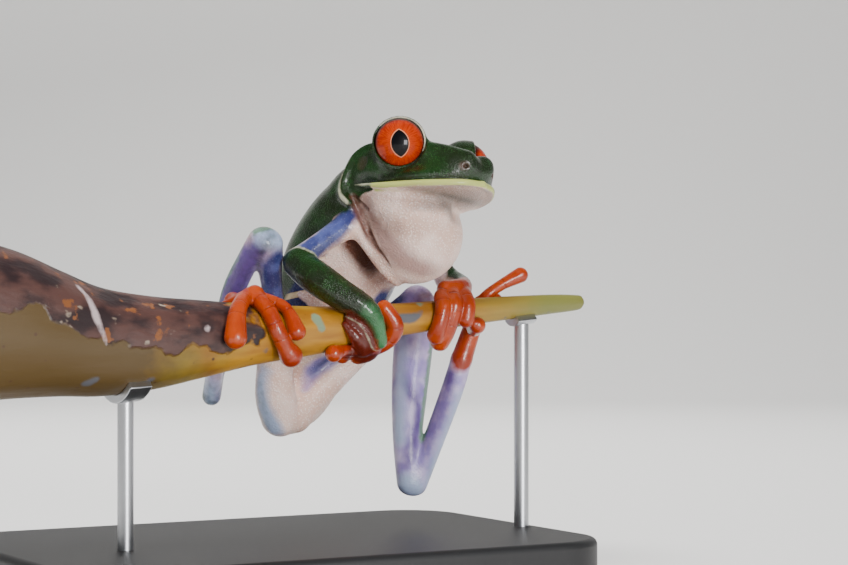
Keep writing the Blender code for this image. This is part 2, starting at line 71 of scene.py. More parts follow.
# no distance is worked out beyond FAR, nor a colour's distance beyond PAINT_REACH of its edge
FAR = 3.0
PAINT_REACH = 1.5


def smooth_run(stations, steps):
    """Stations joined by a Catmull-Rom curve, as rows of numbers."""
    held = np.array([stations[0], *stations, stations[-1]], dtype=float)
    t = np.arange(steps)[:, None] / steps
    rows = []
    for before, start, end, after in zip(held, held[1:], held[2:], held[3:]):
        rows.append(
            0.5 * (2 * start + (end - before) * t + (2 * before - 5 * start + 4 * end - after) * t**2
                   + (3 * start - 3 * end + after - before) * t**3)
        )
    rows.append(held[-1:])
    return np.concatenate(rows)


def placed(name, data):
    """A new object for a mesh, a light or a camera, put in the scene."""
    thing = bpy.data.objects.new(name, data)
    bpy.context.scene.collection.objects.link(thing)
    return thing


def mesh_of(name, points, faces):
    """A smooth-shaded mesh object from points in millimetres and faces of equal length."""
    mesh = bpy.data.meshes.new(name)
    faces = np.asarray(faces, dtype=np.int32)
    corners = faces.shape[1]
    mesh.vertices.add(len(points))
    mesh.vertices.foreach_set("co", (np.asarray(points) * MM).astype(np.float32).ravel())
    mesh.loops.add(faces.size)
    mesh.loops.foreach_set("vertex_index", faces.ravel())
    mesh.polygons.add(len(faces))
    mesh.polygons.foreach_set("loop_start", np.arange(0, faces.size, corners, dtype=np.int32))
    mesh.update(calc_edges=True)
    mesh.validate()
    mesh.shade_smooth()
    return placed(name, mesh)


def stem_ring(x, height, radius):
    """One ring of points round the stem, from its front over its top."""
    turn = np.linspace(0.0, math.tau, STEM_AROUND, endpoint=False)
    return np.stack([
        np.full(STEM_AROUND, x), STEM_Y - radius * np.cos(turn), height + radius * np.sin(turn),
    ], axis=1)


def stem_mesh():
    """Faintly ridged rings along the stem, closed at the sawn face and at the tip."""
    turn = np.linspace(0.0, math.tau, STEM_AROUND, endpoint=False)
    rows = []
    for x, height, radius in smooth_run(STEM, 14):
        ripple = 0.985 + 0.012 * np.sin(5 * turn + 0.06 * x) + 0.008 * np.sin(9 * turn - 0.11 * x)
        rows.append(stem_ring(x, height, radius * ripple))
    # the sawn face: rings closing in from the rim, slightly dished
    x, height, radius = STEM[0]
    for share in FACE_RINGS:
        rows.insert(0, stem_ring(x + FACE_DISH * (1 - share), height, radius * share))
    x, height, _ = STEM[-1]
    rows.append(stem_ring(x, height, 0.02))
    points = np.concatenate(rows)
    ring = np.arange(STEM_AROUND)
    after = (ring + 1) % STEM_AROUND
    faces = []
    for row in range(len(rows) - 1):
        here, there = row * STEM_AROUND, (row + 1) * STEM_AROUND
        faces.append(np.stack([here + ring, there + ring, there + after, here + after], axis=1))
    return mesh_of("stem", points, np.concatenate(faces)), points


def stem_at(x):
    """Height of the stem's axis and its radius at x."""
    xs, heights, radii = smooth_run(STEM, 6).T
    return np.interp(x, xs, heights), np.interp(x, xs, radii)


def on_stem(x, angle, radius, out=0.0):
    """A station on the stem's surface or out from it: 0 degrees is its front, 90 its top."""
    height, around = stem_at(x)
    reach = around + out
    turn = math.radians(angle)
    return (x, STEM_Y - reach * math.cos(turn), height + reach * math.sin(turn), radius)


def cone_distance(x, y, z, start, end):
    """Distance to a round-ended cone between two (x, y, z, radius) stations."""
    ax, ay, az, ra = start[:4]
    along = np.asarray(end[:3]) - np.asarray(start[:3])
    length2 = max(float(along @ along), 1e-6)
    px, py, pz = x - ax, y - ay, z - az
    share = np.clip((px * along[0] + py * along[1] + pz * along[2]) / length2, 0.0, 1.0)
    dx, dy, dz = px - share * along[0], py - share * along[1], pz - share * along[2]
    return np.sqrt(dx * dx + dy * dy + dz * dz) - (ra + (end[3] - ra) * share)


def stroke_distance(x, y, z, run):
    """Distance to the nearest cone of a run."""
    nearest = np.float32(FAR)
    for start, end in zip(run, run[1:]):
        nearest = np.minimum(nearest, cone_distance(x, y, z, start, end))
    return nearest


def box_round(run, margin):
    """The corners of the box round the stations of a run, with a margin."""
    low = (run[:, :3] - run[:, 3:4]).min(axis=0) - margin
    high = (run[:, :3] + run[:, 3:4]).max(axis=0) + margin
    return low, high


def reach_into(places, *strokes, steps=4):
    """How far each of some points lies inside a set of strokes, in millimetres."""
    best = np.full(len(places), -PAINT_REACH, dtype=np.float32)
    for stations in strokes:
        run = smooth_run(stations, steps)
        low, high = box_round(run, PAINT_REACH)
        near = np.where(((places > low) & (places < high)).all(axis=1))[0]
        x, y, z = places[near].T
        best[near] = np.maximum(best[near], -stroke_distance(x, y, z, run))
    return np.clip(best, -PAINT_REACH, PAINT_REACH)


def keep_layer(thing, name, values):
    """Keeps one colour's distances on a mesh, for its material."""
    layer = thing.data.attributes.new(name, "FLOAT", "POINT")
    values = np.clip(values, -PAINT_REACH, PAINT_REACH)
    layer.data.foreach_set("value", values.astype(np.float32))


stem, stem_points = stem_mesh()
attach(stem, "root")
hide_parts("perch")
x, y, z = stem_points.T
axis_height, _ = stem_at(x)
bark_drop = np.interp(x, (-30.0, -22.0, -9.0), (-1.5, 0.1, 0.7))
keep_layer(stem, "bark", np.minimum(z - axis_height + bark_drop, -0.35 * (x + 5.5)))
# pale wood within the sawn face, up to the rings at its rim
from_axis = np.hypot(y - STEM_Y, z - axis_height)
sawn = np.where(x < SAWN_X + FACE_DISH + 0.01, SAWN_RADIUS * 0.95 - from_axis, -PAINT_REACH)
sawn[np.abs(from_axis / SAWN_RADIUS - 0.985) < 0.04] = -PAINT_REACH
keep_layer(stem, "sawn", sawn)
keep_layer(stem, "tip", np.clip((x - 24.0) * 0.12, -1.0, 1.0))
# painted shade: the ochre darkens towards the stem's thick left end, standing for light that falls off
# away from the frog
keep_layer(stem, "shaded_left", np.clip((-13.0 - x) * 0.12, -1.0, 1.0))
# marks, as strokes of (x, angle round the stem, radius)
MARKS = {
    "lichen": (((2.0, 34, 0.55), (2.4, 8, 0.4)), ((14.9, 62, 0.4),) * 2),
    "scar": (
        ((11.8, 12, 0.5), (13.8, 4, 0.45), (14.6, 24, 0.15)),
        ((-23.6, -49, 0.55), (-22.8, -42, 0.3)), ((-16.8, -45, 0.45),) * 2,
        ((-4.0, -30, 0.25),) * 2, ((25.4, 80, 0.2), (25.5, -50, 0.15)),
        ((31.0, 80, 0.16), (31.1, -50, 0.12)),
    ),
    "scratch": (((-24.4, 52, 0.25), (-23.2, 20, 0.4), (-22.2, -4, 0.1)), ((-10.9, 18, 0.3),) * 2),
}
for name, strokes in MARKS.items():
    strokes = [[on_stem(*station) for station in stroke] for stroke in strokes]
    keep_layer(stem, name, reach_into(stem_points, *strokes))


def shade_group(name, inputs, outputs):
    """A shader node group with named number sockets."""
    group = bpy.data.node_groups.new(name, "ShaderNodeTree")
    for direction, labels in (("INPUT", inputs), ("OUTPUT", outputs)):
        for label in labels:
            group.interface.new_socket(label, in_out=direction, socket_type="NodeSocketFloat")
    return group, group.nodes.new("NodeGroupInput"), group.nodes.new("NodeGroupOutput")


def feed(node, inputs):
    """Sets sockets of a node, or links them where the value is another node's output."""
    for label, value in inputs.items():
        if isinstance(value, bpy.types.NodeSocket):
            node.id_data.links.new(value, node.inputs[label])
        else:
            node.inputs[label].default_value = value


def node_of(tree, kind, inputs):
    """A new shader node with some of its sockets fed."""
    node = tree.nodes.new("ShaderNode" + kind)
    feed(node, inputs)
    return node


def math_node(tree, operation, *terms, clamp=False):
    """The output socket of one sum on numbers or sockets."""
    node = tree.nodes.new("ShaderNodeMath")
    node.operation = operation
    node.use_clamp = clamp
    feed(node, dict(enumerate(terms)))
    return node.outputs[0]


def times(tree, first, second):
    """The product of two numbers or sockets."""
    return math_node(tree, "MULTIPLY", first, second)


# feathered edge: a distance, wavered by noise, turned into a soft-edged mask
feather, ends, exits = shade_group(
    "feathered_edge", ("Distance", "Waver", "Grain", "Softness"), ("Mask",)
)
place = node_of(feather, "TexCoord", {})
noise = node_of(feather, "TexNoise", {
    "Detail": 3.0, "Vector": place.outputs["Object"], "Scale": ends.outputs["Grain"],
})
centred = math_node(feather, "SUBTRACT", noise.outputs["Fac"], 0.5)
wavered = times(feather, centred, ends.outputs["Waver"])
moved = math_node(feather, "ADD", wavered, ends.outputs["Distance"])
share = math_node(feather, "DIVIDE", moved, ends.outputs["Softness"])
feed(exits, {"Mask": math_node(feather, "ADD", share, 0.5, clamp=True)})


def object_place(tree):
    """The one node that gives object coordinates in a material."""
    for node in tree.nodes:
        if node.bl_idname == "ShaderNodeTexCoord":
            return node.outputs["Object"]
    return node_of(tree, "TexCoord", {}).outputs["Object"]


def mask_of(tree, layer, waver=0.2, softness=0.25, grain=900.0):
    """A laid-on colour's area as a mask; its edge wavers and softens over these millimetres."""
    source = node_of(tree, "Attribute", {})
    source.attribute_name = layer
    node = tree.nodes.new("ShaderNodeGroup")
    node.node_tree = feather
    feed(node, {
        "Distance": source.outputs["Fac"], "Waver": waver, "Grain": grain, "Softness": softness,
    })
    return node.outputs["Mask"]


def mixed(tree, factor, first, second):
    """Two paints, as (red, green, blue) or as a node's output, mixed by a factor."""
    first, second = [(*paint, 1.0) if isinstance(paint, tuple) else paint for paint in (first, second)]
    node = tree.nodes.new("ShaderNodeMix")
    node.data_type = "RGBA"
    feed(node, {0: factor, 6: first, 7: second})
    return node.outputs[2]


def noise_of(tree, scale, detail=2.0, stretch=None):
    """Noise over the object, drawn out along an axis where stretch says so."""
    place = object_place(tree)
    if stretch:
        place = node_of(tree, "Mapping", {"Vector": place, "Scale": stretch}).outputs["Vector"]
    noise = node_of(tree, "TexNoise", {"Scale": scale, "Detail": detail, "Vector": place})
    return noise.outputs["Fac"]


def band_of(tree, value, low, high):
    """A smooth rise from 0 at low to 1 at high."""
    node = node_of(tree, "MapRange", {"From Min": low, "From Max": high, "Value": value})
    node.interpolation_type = "SMOOTHSTEP"
    return node.outputs["Result"]


def mottled(tree, first, second, low, high, *noise):
    """Two paints in soft patches, the second where the noise is high; the noise as in noise_of."""
    return mixed(tree, band_of(tree, noise_of(tree, *noise), low, high), first, second)


def grains_of(tree, scale, low, high):
    """Rounded grains: how near their middles each place is, from low to high."""
    cells = node_of(tree, "TexVoronoi", {"Scale": scale, "Vector": object_place(tree)})
    return band_of(tree, cells.outputs["Distance"], low, high)


def painted(tree, colour, *coats):
    """A colour with others laid over it in turn: (layer, paint, its edge as in mask_of)."""
    for layer, paint, *edge in coats:
        colour = mixed(tree, mask_of(tree, layer, *edge), colour, paint)
    return colour


def relief_of(tree, height, strength, distance):
    """A bump node's normal for a height."""
    node = node_of(tree, "Bump", {"Strength": strength, "Distance": distance, "Height": height})
    return node.outputs["Normal"]


def material_of(name):
    """A new material, its nodes and its surface."""
    material = bpy.data.materials.new(name)
    material.use_nodes = True
    return material, material.node_tree, material.node_tree.nodes["Principled BSDF"]


# stem: ochre rind, streaked along its length, greener to the tip and darkened towards the thick end as
# painted shade, under flaking brown bark
rind, tree, surface = material_of("stem_rind")
streaks = noise_of(tree, 500.0, 4.0, (0.18, 1.0, 1.0))
ochre = mixed(tree, band_of(tree, streaks, 0.35, 0.65), (0.26, 0.1, 0.004), (0.42, 0.2, 0.011))
ochre = mottled(tree, ochre, (0.3, 0.21, 0.018), 0.5, 0.75, 120.0)
ochre = painted(
    tree, ochre,
    # painted shade, darker towards the thick end
    ("shaded_left", (0.08, 0.047, 0.012), 0.6, 1.2),
    ("tip", (0.16, 0.16, 0.035), 0.3, 1.6),
)
speck = times(tree, grains_of(tree, 620.0, 0.16, 0.06), band_of(tree, noise_of(tree, 330.0), 0.45, 0.55))
ochre = mixed(tree, speck, ochre, (0.06, 0.025, 0.01))
flaked = noise_of(tree, 420.0, 5.0, (0.5, 1.0, 1.0))
brown = mixed(tree, band_of(tree, flaked, 0.4, 0.6), (0.02, 0.01, 0.011), (0.075, 0.034, 0.028))
brown = mottled(tree, brown, (0.19, 0.065, 0.02), 0.62, 0.7, 700.0, 4.0)
brown = mottled(tree, brown, (0.27, 0.21, 0.16), 0.66, 0.73, 560.0, 3.0, (0.7, 1.0, 1.0))
pith = mottled(tree, (0.3, 0.24, 0.11), (0.42, 0.36, 0.19), 0.3, 0.7, 900.0, 3.0)
pith = mixed(tree, grains_of(tree, 1500.0, 0.22, 0.1), pith, (0.13, 0.09, 0.035))
bark = mask_of(tree, "bark", 4.2, 0.35, 330.0)
colour = painted(
    tree, mixed(tree, bark, ochre, brown),
    ("scar", (0.085, 0.085, 0.095), 0.5, 0.3),
    ("scratch", (0.45, 0.36, 0.36), 0.4, 0.3),
    ("lichen", (0.17, 0.22, 0.13), 0.6, 0.25),
    ("sawn", pith, 0.1, 0.1),
)
furrows = math_node(tree, "ADD", times(tree, flaked, bark), times(tree, streaks, 0.4))
feed(surface, {
    "Base Color": colour, "Roughness": 0.5, "Normal": relief_of(tree, furrows, 0.8, 0.00035),
})
stem.data.materials.append(rind)

# ---------------------------------------------------------------- display stand
# A flat black plate with two short steel rods let into it, each ending in a curved saddle under
# the stem. It has no original: it only holds the stem over the floor.
BASE_SIZE = (60.0, 40.0, 4.0)
BASE_CORNER = 7.0
BASE_EDGE = 0.7


def mesh_from(form, name, sharp=180.0):
    """A smooth mesh from a form, with the edges that turn more than some degrees left sharp."""
    mesh = bpy.data.meshes.new(name)
    form.to_mesh(mesh)
    form.free()
    mesh.shade_smooth()
    if sharp < 180.0:
        mesh.set_sharp_from_angle(angle=math.radians(sharp))
    return mesh


def ease_edges(thing, name, width, segments, limit):
    """Rounds off the edges that turn more than some degrees."""
    edge = thing.modifiers.new(name, "BEVEL")
    edge.width = width * MM
    edge.segments = segments
    edge.limit_method = "ANGLE"
    edge.angle_limit = math.radians(limit)


form = bmesh.new()
bmesh.ops.create_cube(form, size=1.0)
bmesh.ops.scale(form, vec=Vector(BASE_SIZE) * MM, verts=form.verts)
bmesh.ops.translate(form, vec=Vector((0.0, 0.0, BASE_SIZE[2] / 2.0)) * MM, verts=form.verts)
uprights = [edge for edge in form.edges if abs(edge.verts[0].co.z - edge.verts[1].co.z) > MM]
bmesh.ops.bevel(
    form, geom=uprights, offset=BASE_CORNER * MM, segments=16, profile=0.5, affect="EDGES"
)
mesh = mesh_from(form, "base_plate", 40.0)
base_plate = placed("base_plate", mesh)
ease_edges(base_plate, "Eased edge", BASE_EDGE, 5, 30.0)
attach(base_plate, "root")
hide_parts("stand_base")

black, tree, surface = material_of("stand_black")
feed(surface, {
    "Base Color": (0.014, 0.014, 0.015, 1.0), "Roughness": 0.5,
    "Normal": relief_of(tree, noise_of(tree, 1500.0, 2.0), 0.3, 0.00005),
})
mesh.materials.append(black)

ROD_X = (-18.0, 28.0)
ROD_RADIUS = 0.8
SADDLE_LENGTH = 2.4
SADDLE_WALL = 0.8
SADDLE_LIP = 0.72
SADDLE_PRESS = 0.975
ROD_LET_IN = 0.2

steel, tree, surface = material_of("stand_steel")
brushed = noise_of(tree, 900.0, 3.0, (1.0, 1.0, 12.0))
feed(surface, {
    "Base Color": (0.5, 0.51, 0.53, 1.0), "Metallic": 1.0,
    "Roughness": math_node(tree, "MULTIPLY_ADD", brushed, 0.25, 0.22),
})

for name, x in zip(("stand_rod_left", "stand_rod_right"), ROD_X):
    arc = np.linspace(-math.acos(SADDLE_LIP), math.acos(SADDLE_LIP), 33)
    form = bmesh.new()
    ends = []
    for along in (x - SADDLE_LENGTH / 2.0, x + SADDLE_LENGTH / 2.0):
        height, radius = stem_at(along)
        inner, outer = radius * SADDLE_PRESS, radius + SADDLE_WALL
        outline = [(inner, a) for a in arc] + [(outer, a) for a in arc[::-1]]
        ends.append([
            form.verts.new(Vector((along, STEM_Y + r * math.sin(a), height - r * math.cos(a))) * MM)
            for r, a in outline
        ])
    form.faces.new(ends[0])
    form.faces.new(ends[1][::-1])
    for n in range(len(outline)):
        m = (n + 1) % len(outline)
        form.faces.new((ends[0][m], ends[0][n], ends[1][n], ends[1][m]))
    bmesh.ops.recalc_face_normals(form, faces=form.faces)
    height, radius = stem_at(x)
    foot, top = BASE_SIZE[2] - ROD_LET_IN, height - radius - SADDLE_WALL / 2.0
    middle = Matrix.Translation(Vector((x, STEM_Y, (foot + top) / 2.0)) * MM)
    bmesh.ops.create_cone(
        form, cap_ends=True, segments=64, radius1=ROD_RADIUS * MM, radius2=ROD_RADIUS * MM,
        depth=(top - foot) * MM, matrix=middle,
    )
    mesh = mesh_from(form, name.replace("stand_", ""), 35.0)
    mesh.materials.append(steel)
    rod = placed(mesh.name, mesh)
    ease_edges(rod, "Eased edges", 0.12, 3, 50.0)
    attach(rod, "root")
    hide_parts(name)

# ---------------------------------------------------------------- frog skin
# One unbroken skin over the whole frog: skull, trunk, throat sac, limbs, hands and feet run into
# each other without seams. It is laid over a skeleton of tapering strokes and ovals.
GRID = 0.12
LOW = np.array([-11.5, -14.5, 5.5])
HIGH = np.array([30.0, 16.5, 49.0])
COUNT = np.ceil((HIGH - LOW) / GRID).astype(int) + 1
HEAD_ORIGIN = (15.8, -5.4, 43.6)
head_frame = (
    Matrix.Translation(HEAD_ORIGIN)
    @ Matrix.Rotation(math.radians(-72.0), 4, "Z")
    @ Matrix.Rotation(math.radians(-9.0), 4, "Y")
    @ Matrix.Rotation(math.radians(-12.0), 4, "X")
)
HEAD = np.array(head_frame)
GRIP_PRESS = 0.12


def grip(x, angle, radius, lift=0.0):
    """A point of a digit laid round the stem and pressed a little way into it."""
    return on_stem(x, angle, radius, radius - GRIP_PRESS + lift)


def in_head(stations, axes=head_frame):
    """Stations given in the head's own axes, carried to the world."""
    return [(*(axes @ Vector(station[:3])), *station[3:]) for station in stations]


def both_sides(stations, axes=head_frame):
    """A stroke of the head and its mirror image."""
    mirrored = [(x, -y, z, *rest) for x, y, z, *rest in stations]
    return [in_head(stations, axes), in_head(mirrored, axes)]


def soft_union(first, second, blend):
    """The smaller of two distances, rounded over where they are about equal."""
    share = np.clip(0.5 + 0.5 * (second - first) / blend, 0.0, 1.0)
    return second + (first - second) * share - blend * share * (1.0 - share)


def spread_out(axes):
    """Three rows of coordinates, each turned to its own direction of a block."""
    return [axis.reshape([-1 if n == m else 1 for m in range(3)]) for n, axis in enumerate(axes)]


def empty_block(axes):
    """A block of the size of some coordinates, with nothing near it."""
    return np.full(np.broadcast_shapes(*(axis.shape for axis in axes)), FAR, dtype=np.float32)


def part_of(axes, low, high):
    """The slices and the coordinates of the part of a block inside a box."""
    picks = []
    for n, axis in enumerate(axes):
        picks.append(slice(*(int(np.searchsorted(axis.ravel(), end[n])) for end in (low, high))))
    return tuple(picks), spread_out([axis.ravel()[pick] for axis, pick in zip(axes, picks)])


class Sculpt:
    """A distance field over one part of the grid, built up from strokes and ovals."""

    def __init__(self, low, high):
        start = np.maximum(np.floor((np.asarray(low) - LOW) / GRID).astype(int), 0)
        stop = np.minimum(np.ceil((np.asarray(high) - LOW) / GRID).astype(int) + 1, COUNT)
        self.where = tuple(slice(a, b) for a, b in zip(start, stop))
        steps = [np.arange(a, b, dtype=np.float32) for a, b in zip(start, stop)]
        self.axes = spread_out([(LOW[n] + GRID * steps[n]).astype(np.float32) for n in range(3)])
        self.field = empty_block(self.axes)

    def distance_of(self, stations, steps):
        run = smooth_run(stations, steps)
        reach = FAR - 0.5
        picks, axes = part_of(self.axes, *box_round(run, reach))
        whole = empty_block(axes)
        for start, end in zip(run, run[1:]):
            inner, local = part_of(axes, *box_round(np.array([start, end]), reach))
            if whole[inner].size:
                there = cone_distance(*local, start, end).astype(np.float32)
                whole[inner] = np.minimum(whole[inner], there)
        return picks, whole

    def turned_about(self, turn, centre, reach):
        """The part of the block round a centre, and its coordinates in turned axes from there."""
        matrix = np.array(turn)[:3, :3]
        middle = np.asarray(centre, dtype=float)
        picks, (x, y, z) = part_of(self.axes, middle - reach, middle + reach)
        x, y, z = x - middle[0], y - middle[1], z - middle[2]
        return picks, [x * matrix[0, n] + y * matrix[1, n] + z * matrix[2, n] for n in range(3)]

    def meld(self, picks, there, blend, cut=False):
        """Adds a form, or cuts it away, rounded over a blend's width where it meets the rest."""
        sign = -1.0 if cut else 1.0
        self.field[picks] = sign * soft_union(sign * self.field[picks], there, blend)

    def add(self, stations, blend, steps=4, cut=False):
        self.meld(*self.distance_of(stations, steps), blend, cut)

    def oval(self, turn, centre, radii, blend, cut=False):
        picks, local = self.turned_about(turn, centre, max(radii) + FAR)
        k0, k1 = [
            np.sqrt(sum((part / radius**power) ** 2 for part, radius in zip(local, radii))) + 1e-6
            for power in (1, 2)
        ]
        there = (k0 * (k0 - 1.0) / k1).astype(np.float32)
        self.meld(picks, there if cut else np.minimum(there, FAR), blend, cut)

    def lop(self, turn, centre, radius, blend):
        """Takes off what stands ahead of a plane, within a radius of its centre."""
        picks, (ahead, side, up) = self.turned_about(turn, centre, radius + 1.0)
        there = np.maximum(-ahead, np.sqrt(side * side + up * up) - radius)
        self.meld(picks, there.astype(np.float32), blend, cut=True)

    def join(self, other, blend):
        """Takes another sculpt, inside this one's box, into this one."""
        offset = tuple(
            slice(o.start - s.start, o.stop - s.start) for s, o in zip(self.where, other.where)
        )
        self.field[offset] = soft_union(self.field[offset], other.field, blend)


skin_field = Sculpt(LOW, HIGH)

# trunk: ellipses along a bent spine, (x, y, z, half width, half depth, turn of the width from +X)
TRUNK = (
    (15.3, -2.6, 43.4, 2.6, 1.2, 18.0),
    (14.9, -1.2, 42.2, 3.6, 2.2, 18.0),
    (14.5, -0.6, 41.0, 5.2, 3.0, 18.0),
    (13.9, 1.1, 39.2, 6.8, 4.2, 18.0),
    (12.8, 3.7, 36.6, 7.4, 5.0, 18.0),
    (11.8, 6.7, 32.6, 7.5, 5.4, 20.0),
    (11.0, 8.9, 28.0, 7.1, 5.1, 24.0),
    (10.1, 10.1, 23.6, 6.2, 4.4, 30.0),
    (8.9, 10.5, 19.6, 4.8, 3.5, 36.0),
    (7.6, 10.0, 16.8, 3.5, 2.6, 40.0),
    (7.0, 9.7, 15.4, 2.2, 1.6, 40.0),
    (6.8, 9.6, 14.8, 0.7, 0.5, 40.0),
)


def trunk_distance(x, y, z, shape):
    """Distance to the trunk: each point is measured in the ellipse level with it on the spine."""
    run = smooth_run(TRUNK, 3)
    centres = run[:, :3]
    ahead = np.gradient(centres, axis=0)
    ahead /= np.linalg.norm(ahead, axis=1, keepdims=True)
    level = np.stack([np.cos(np.radians(run[:, 5])), np.sin(np.radians(run[:, 5])),
                      np.zeros(len(run))], axis=1)
    through = np.cross(ahead, level)
    through /= np.linalg.norm(through, axis=1, keepdims=True)
    across = np.cross(through, ahead)
    found = np.full(shape, FAR, dtype=np.float32)
    before = None
    for n in range(len(run)):
        offset = (x - centres[n, 0], y - centres[n, 1], z - centres[n, 2])
        along, a, b = [
            sum(part * axis[n, m] for m, part in enumerate(offset)) for axis in (ahead, across, through)
        ]
        if before is not None:
            along0, a0, b0 = before
            between = (along0 >= 0.0) & (along < 0.0)
            share = np.clip(along0 / np.maximum(along0 - along, 1e-6), 0.0, 1.0)
            width = run[n - 1, 3] + (run[n, 3] - run[n - 1, 3]) * share
            depth = run[n - 1, 4] + (run[n, 4] - run[n - 1, 4]) * share
            u = a0 + (a - a0) * share
            v = b0 + (b - b0) * share
            k0 = np.sqrt((u / width) ** 2 + (v / depth) ** 2) + 1e-6
            k1 = np.sqrt((u / width**2) ** 2 + (v / depth**2) ** 2) + 1e-6
            here = (k0 * (k0 - 1.0) / k1).astype(np.float32)
            found = np.where(between & (here < found), here, found)
        before = (along, a, b)
    return found


trunk = Sculpt((-1.0, -8.5, 10.0), (24.0, 16.5, 47.5))
trunk.field = np.minimum(trunk_distance(*trunk.axes, trunk.field.shape), FAR)

HEAD_BALLS = (
    ((-2.6, 0.0, -2.4), (6.9, 6.2, 2.9), 0.8),
    ((2.6, 0.0, -2.9), (4.5, 4.3, 2.1), 1.2),
    ((-0.4, 0.0, -3.7), (6.9, 5.75, 1.65), 0.6),
    ((-7.2, 0.0, -3.0), (3.6, 5.9, 3.3), 1.5),
    ((-4.2, 3.5, -1.3), (2.8, 2.7, 2.3), 1.2),
    ((-4.2, -3.5, -1.3), (2.8, 2.7, 2.3), 1.2),
)
JAW_BALLS = (
    ((-0.8, 0.0, -4.6), (7.4, 6.6, 0.85), 0.4),
    ((-2.2, 0.0, -4.95), (6.4, 5.6, 0.8), 0.5),
)
LIP = (
    (-5.0, 6.3, -3.5, 0.1),
    (-3.4, 6.6, -3.9, 0.22),
    (-1.5, 6.55, -4.25, 0.32),
    (0.6, 6.05, -4.48, 0.38),
    (2.6, 5.2, -4.62, 0.38),
    (4.3, 4.2, -4.68, 0.38),
    (6.3, 2.2, -4.62, 0.38),
    (7.05, 0.0, -4.6, 0.38),
)
JAW_TILT = 3.0
JAW_DOWN = 4.7
jaw_frame = (
    head_frame
    @ Matrix.Translation((0.0, 0.0, -JAW_DOWN))
    @ Matrix.Rotation(math.radians(JAW_TILT), 4, "X")
    @ Matrix.Translation((0.0, 0.0, JAW_DOWN))
)
RIDGE = ((1.4, 3.9, -0.9, 1.3), (4.0, 2.6, -1.5, 1.2), (5.9, 1.3, -2.1, 1.1))

head = Sculpt((2.0, -14.5, 32.0), (29.0, 7.5, 49.0))
for centre, radii, blend in HEAD_BALLS:
    head.oval(head_frame, head_frame @ Vector(centre), radii, blend)
for stroke in both_sides(RIDGE):
    head.add(stroke, 0.8)
for centre, radii, blend in JAW_BALLS:
    head.oval(jaw_frame, jaw_frame @ Vector(centre), radii, blend)
for stroke in both_sides(LIP, jaw_frame):
    head.add(stroke, 0.25)

# eyelids: a thin rim that stands round each eye, and the socket behind it
EYE_SIDE = 5.0
EYE_RADIUS = 2.62
EYE_FORWARD = 38.0
LID_OUT = 0.62
LID_BALL = (2.86, 2.84, 2.84)
LID_RING = 2.7
LID_RIM = 0.13


def eye_axes(side):
    """An eye's middle, in the head's axes, and the same turned to face out of its lids."""
    eye = head_frame @ Matrix.Translation((0.0, EYE_SIDE * side, 0.0))
    return eye, eye @ Matrix.Rotation(math.radians(side * (90.0 - EYE_FORWARD)), 4, "Z")


for side in (1.0, -1.0):
    eye, facing = eye_axes(side)
    head.oval(facing, eye.translation, LID_BALL, 0.8)
    head.lop(facing, facing @ Vector((LID_OUT, 0.0, 0.0)), 2.95, 0.15)
    ring = []
    for turn in np.linspace(0.0, math.tau, 49):
        rim = facing @ Vector((LID_OUT, LID_RING * math.cos(turn), LID_RING * math.sin(turn)))
        ring.append((*rim, LID_RIM))
    head.add(ring, 0.12, steps=1)
    head.oval(head_frame, eye.translation, (EYE_RADIUS,) * 3, 0.04, cut=True)

# nostrils, and the groove over the lip
for side in (1.0, -1.0):
    nostril = head_frame @ Vector((6.5, 1.95 * side, -2.95))
    head.oval(head_frame, nostril, (0.2, 0.2, 0.13), 0.3, cut=True)
    groove = [(x - 0.05, y * side, z - 0.5, 0.13) for x, y, z, _ in LIP[1:]]
    head.add(in_head(groove, jaw_frame), 0.2, cut=True)

# ear folds: a ridge from behind each eye round to the arm, with the ear disc in front of it
EAR_FOLD = ((-2.6, 4.6, 0.4, 0.3), (-4.0, 5.4, 0.35, 0.36), (-5.4, 5.95, -0.5, 0.38),
            (-6.3, 6.15, -1.9, 0.38), (-6.85, 6.25, -3.2, 0.38), (-6.75, 6.3, -4.5, 0.36),
            (-6.0, 6.1, -5.5, 0.3))
for stroke in both_sides(EAR_FOLD):
    head.add(stroke, 0.55)
for side in (1.0, -1.0):
    ear = head_frame @ Vector((-4.1, 6.2 * side, -1.6))
    head.oval(head_frame, ear, (0.75, 0.16, 0.75), 0.12, cut=True)

HARD_BLEND = 0.01
NECK_BLEND = 1.6
SAC_BLEND = 0.7
skin_field.join(trunk, HARD_BLEND)
skin_field.join(head, NECK_BLEND)

# throat sac
sac = Sculpt((6.0, -12.0, 26.5), (23.0, 7.0, 45.0))
sac.add([(13.6, -2.6, 38.2, 4.5), (14.7, -3.4, 35.3, 5.15)], HARD_BLEND, steps=1)
sac.add([(10.9, -5.6, 38.4, 2.1), (12.2, -6.9, 37.9, 2.7), (14.0, -8.0, 38.0, 2.2)], 1.6)
skin_field.join(sac, SAC_BLEND)

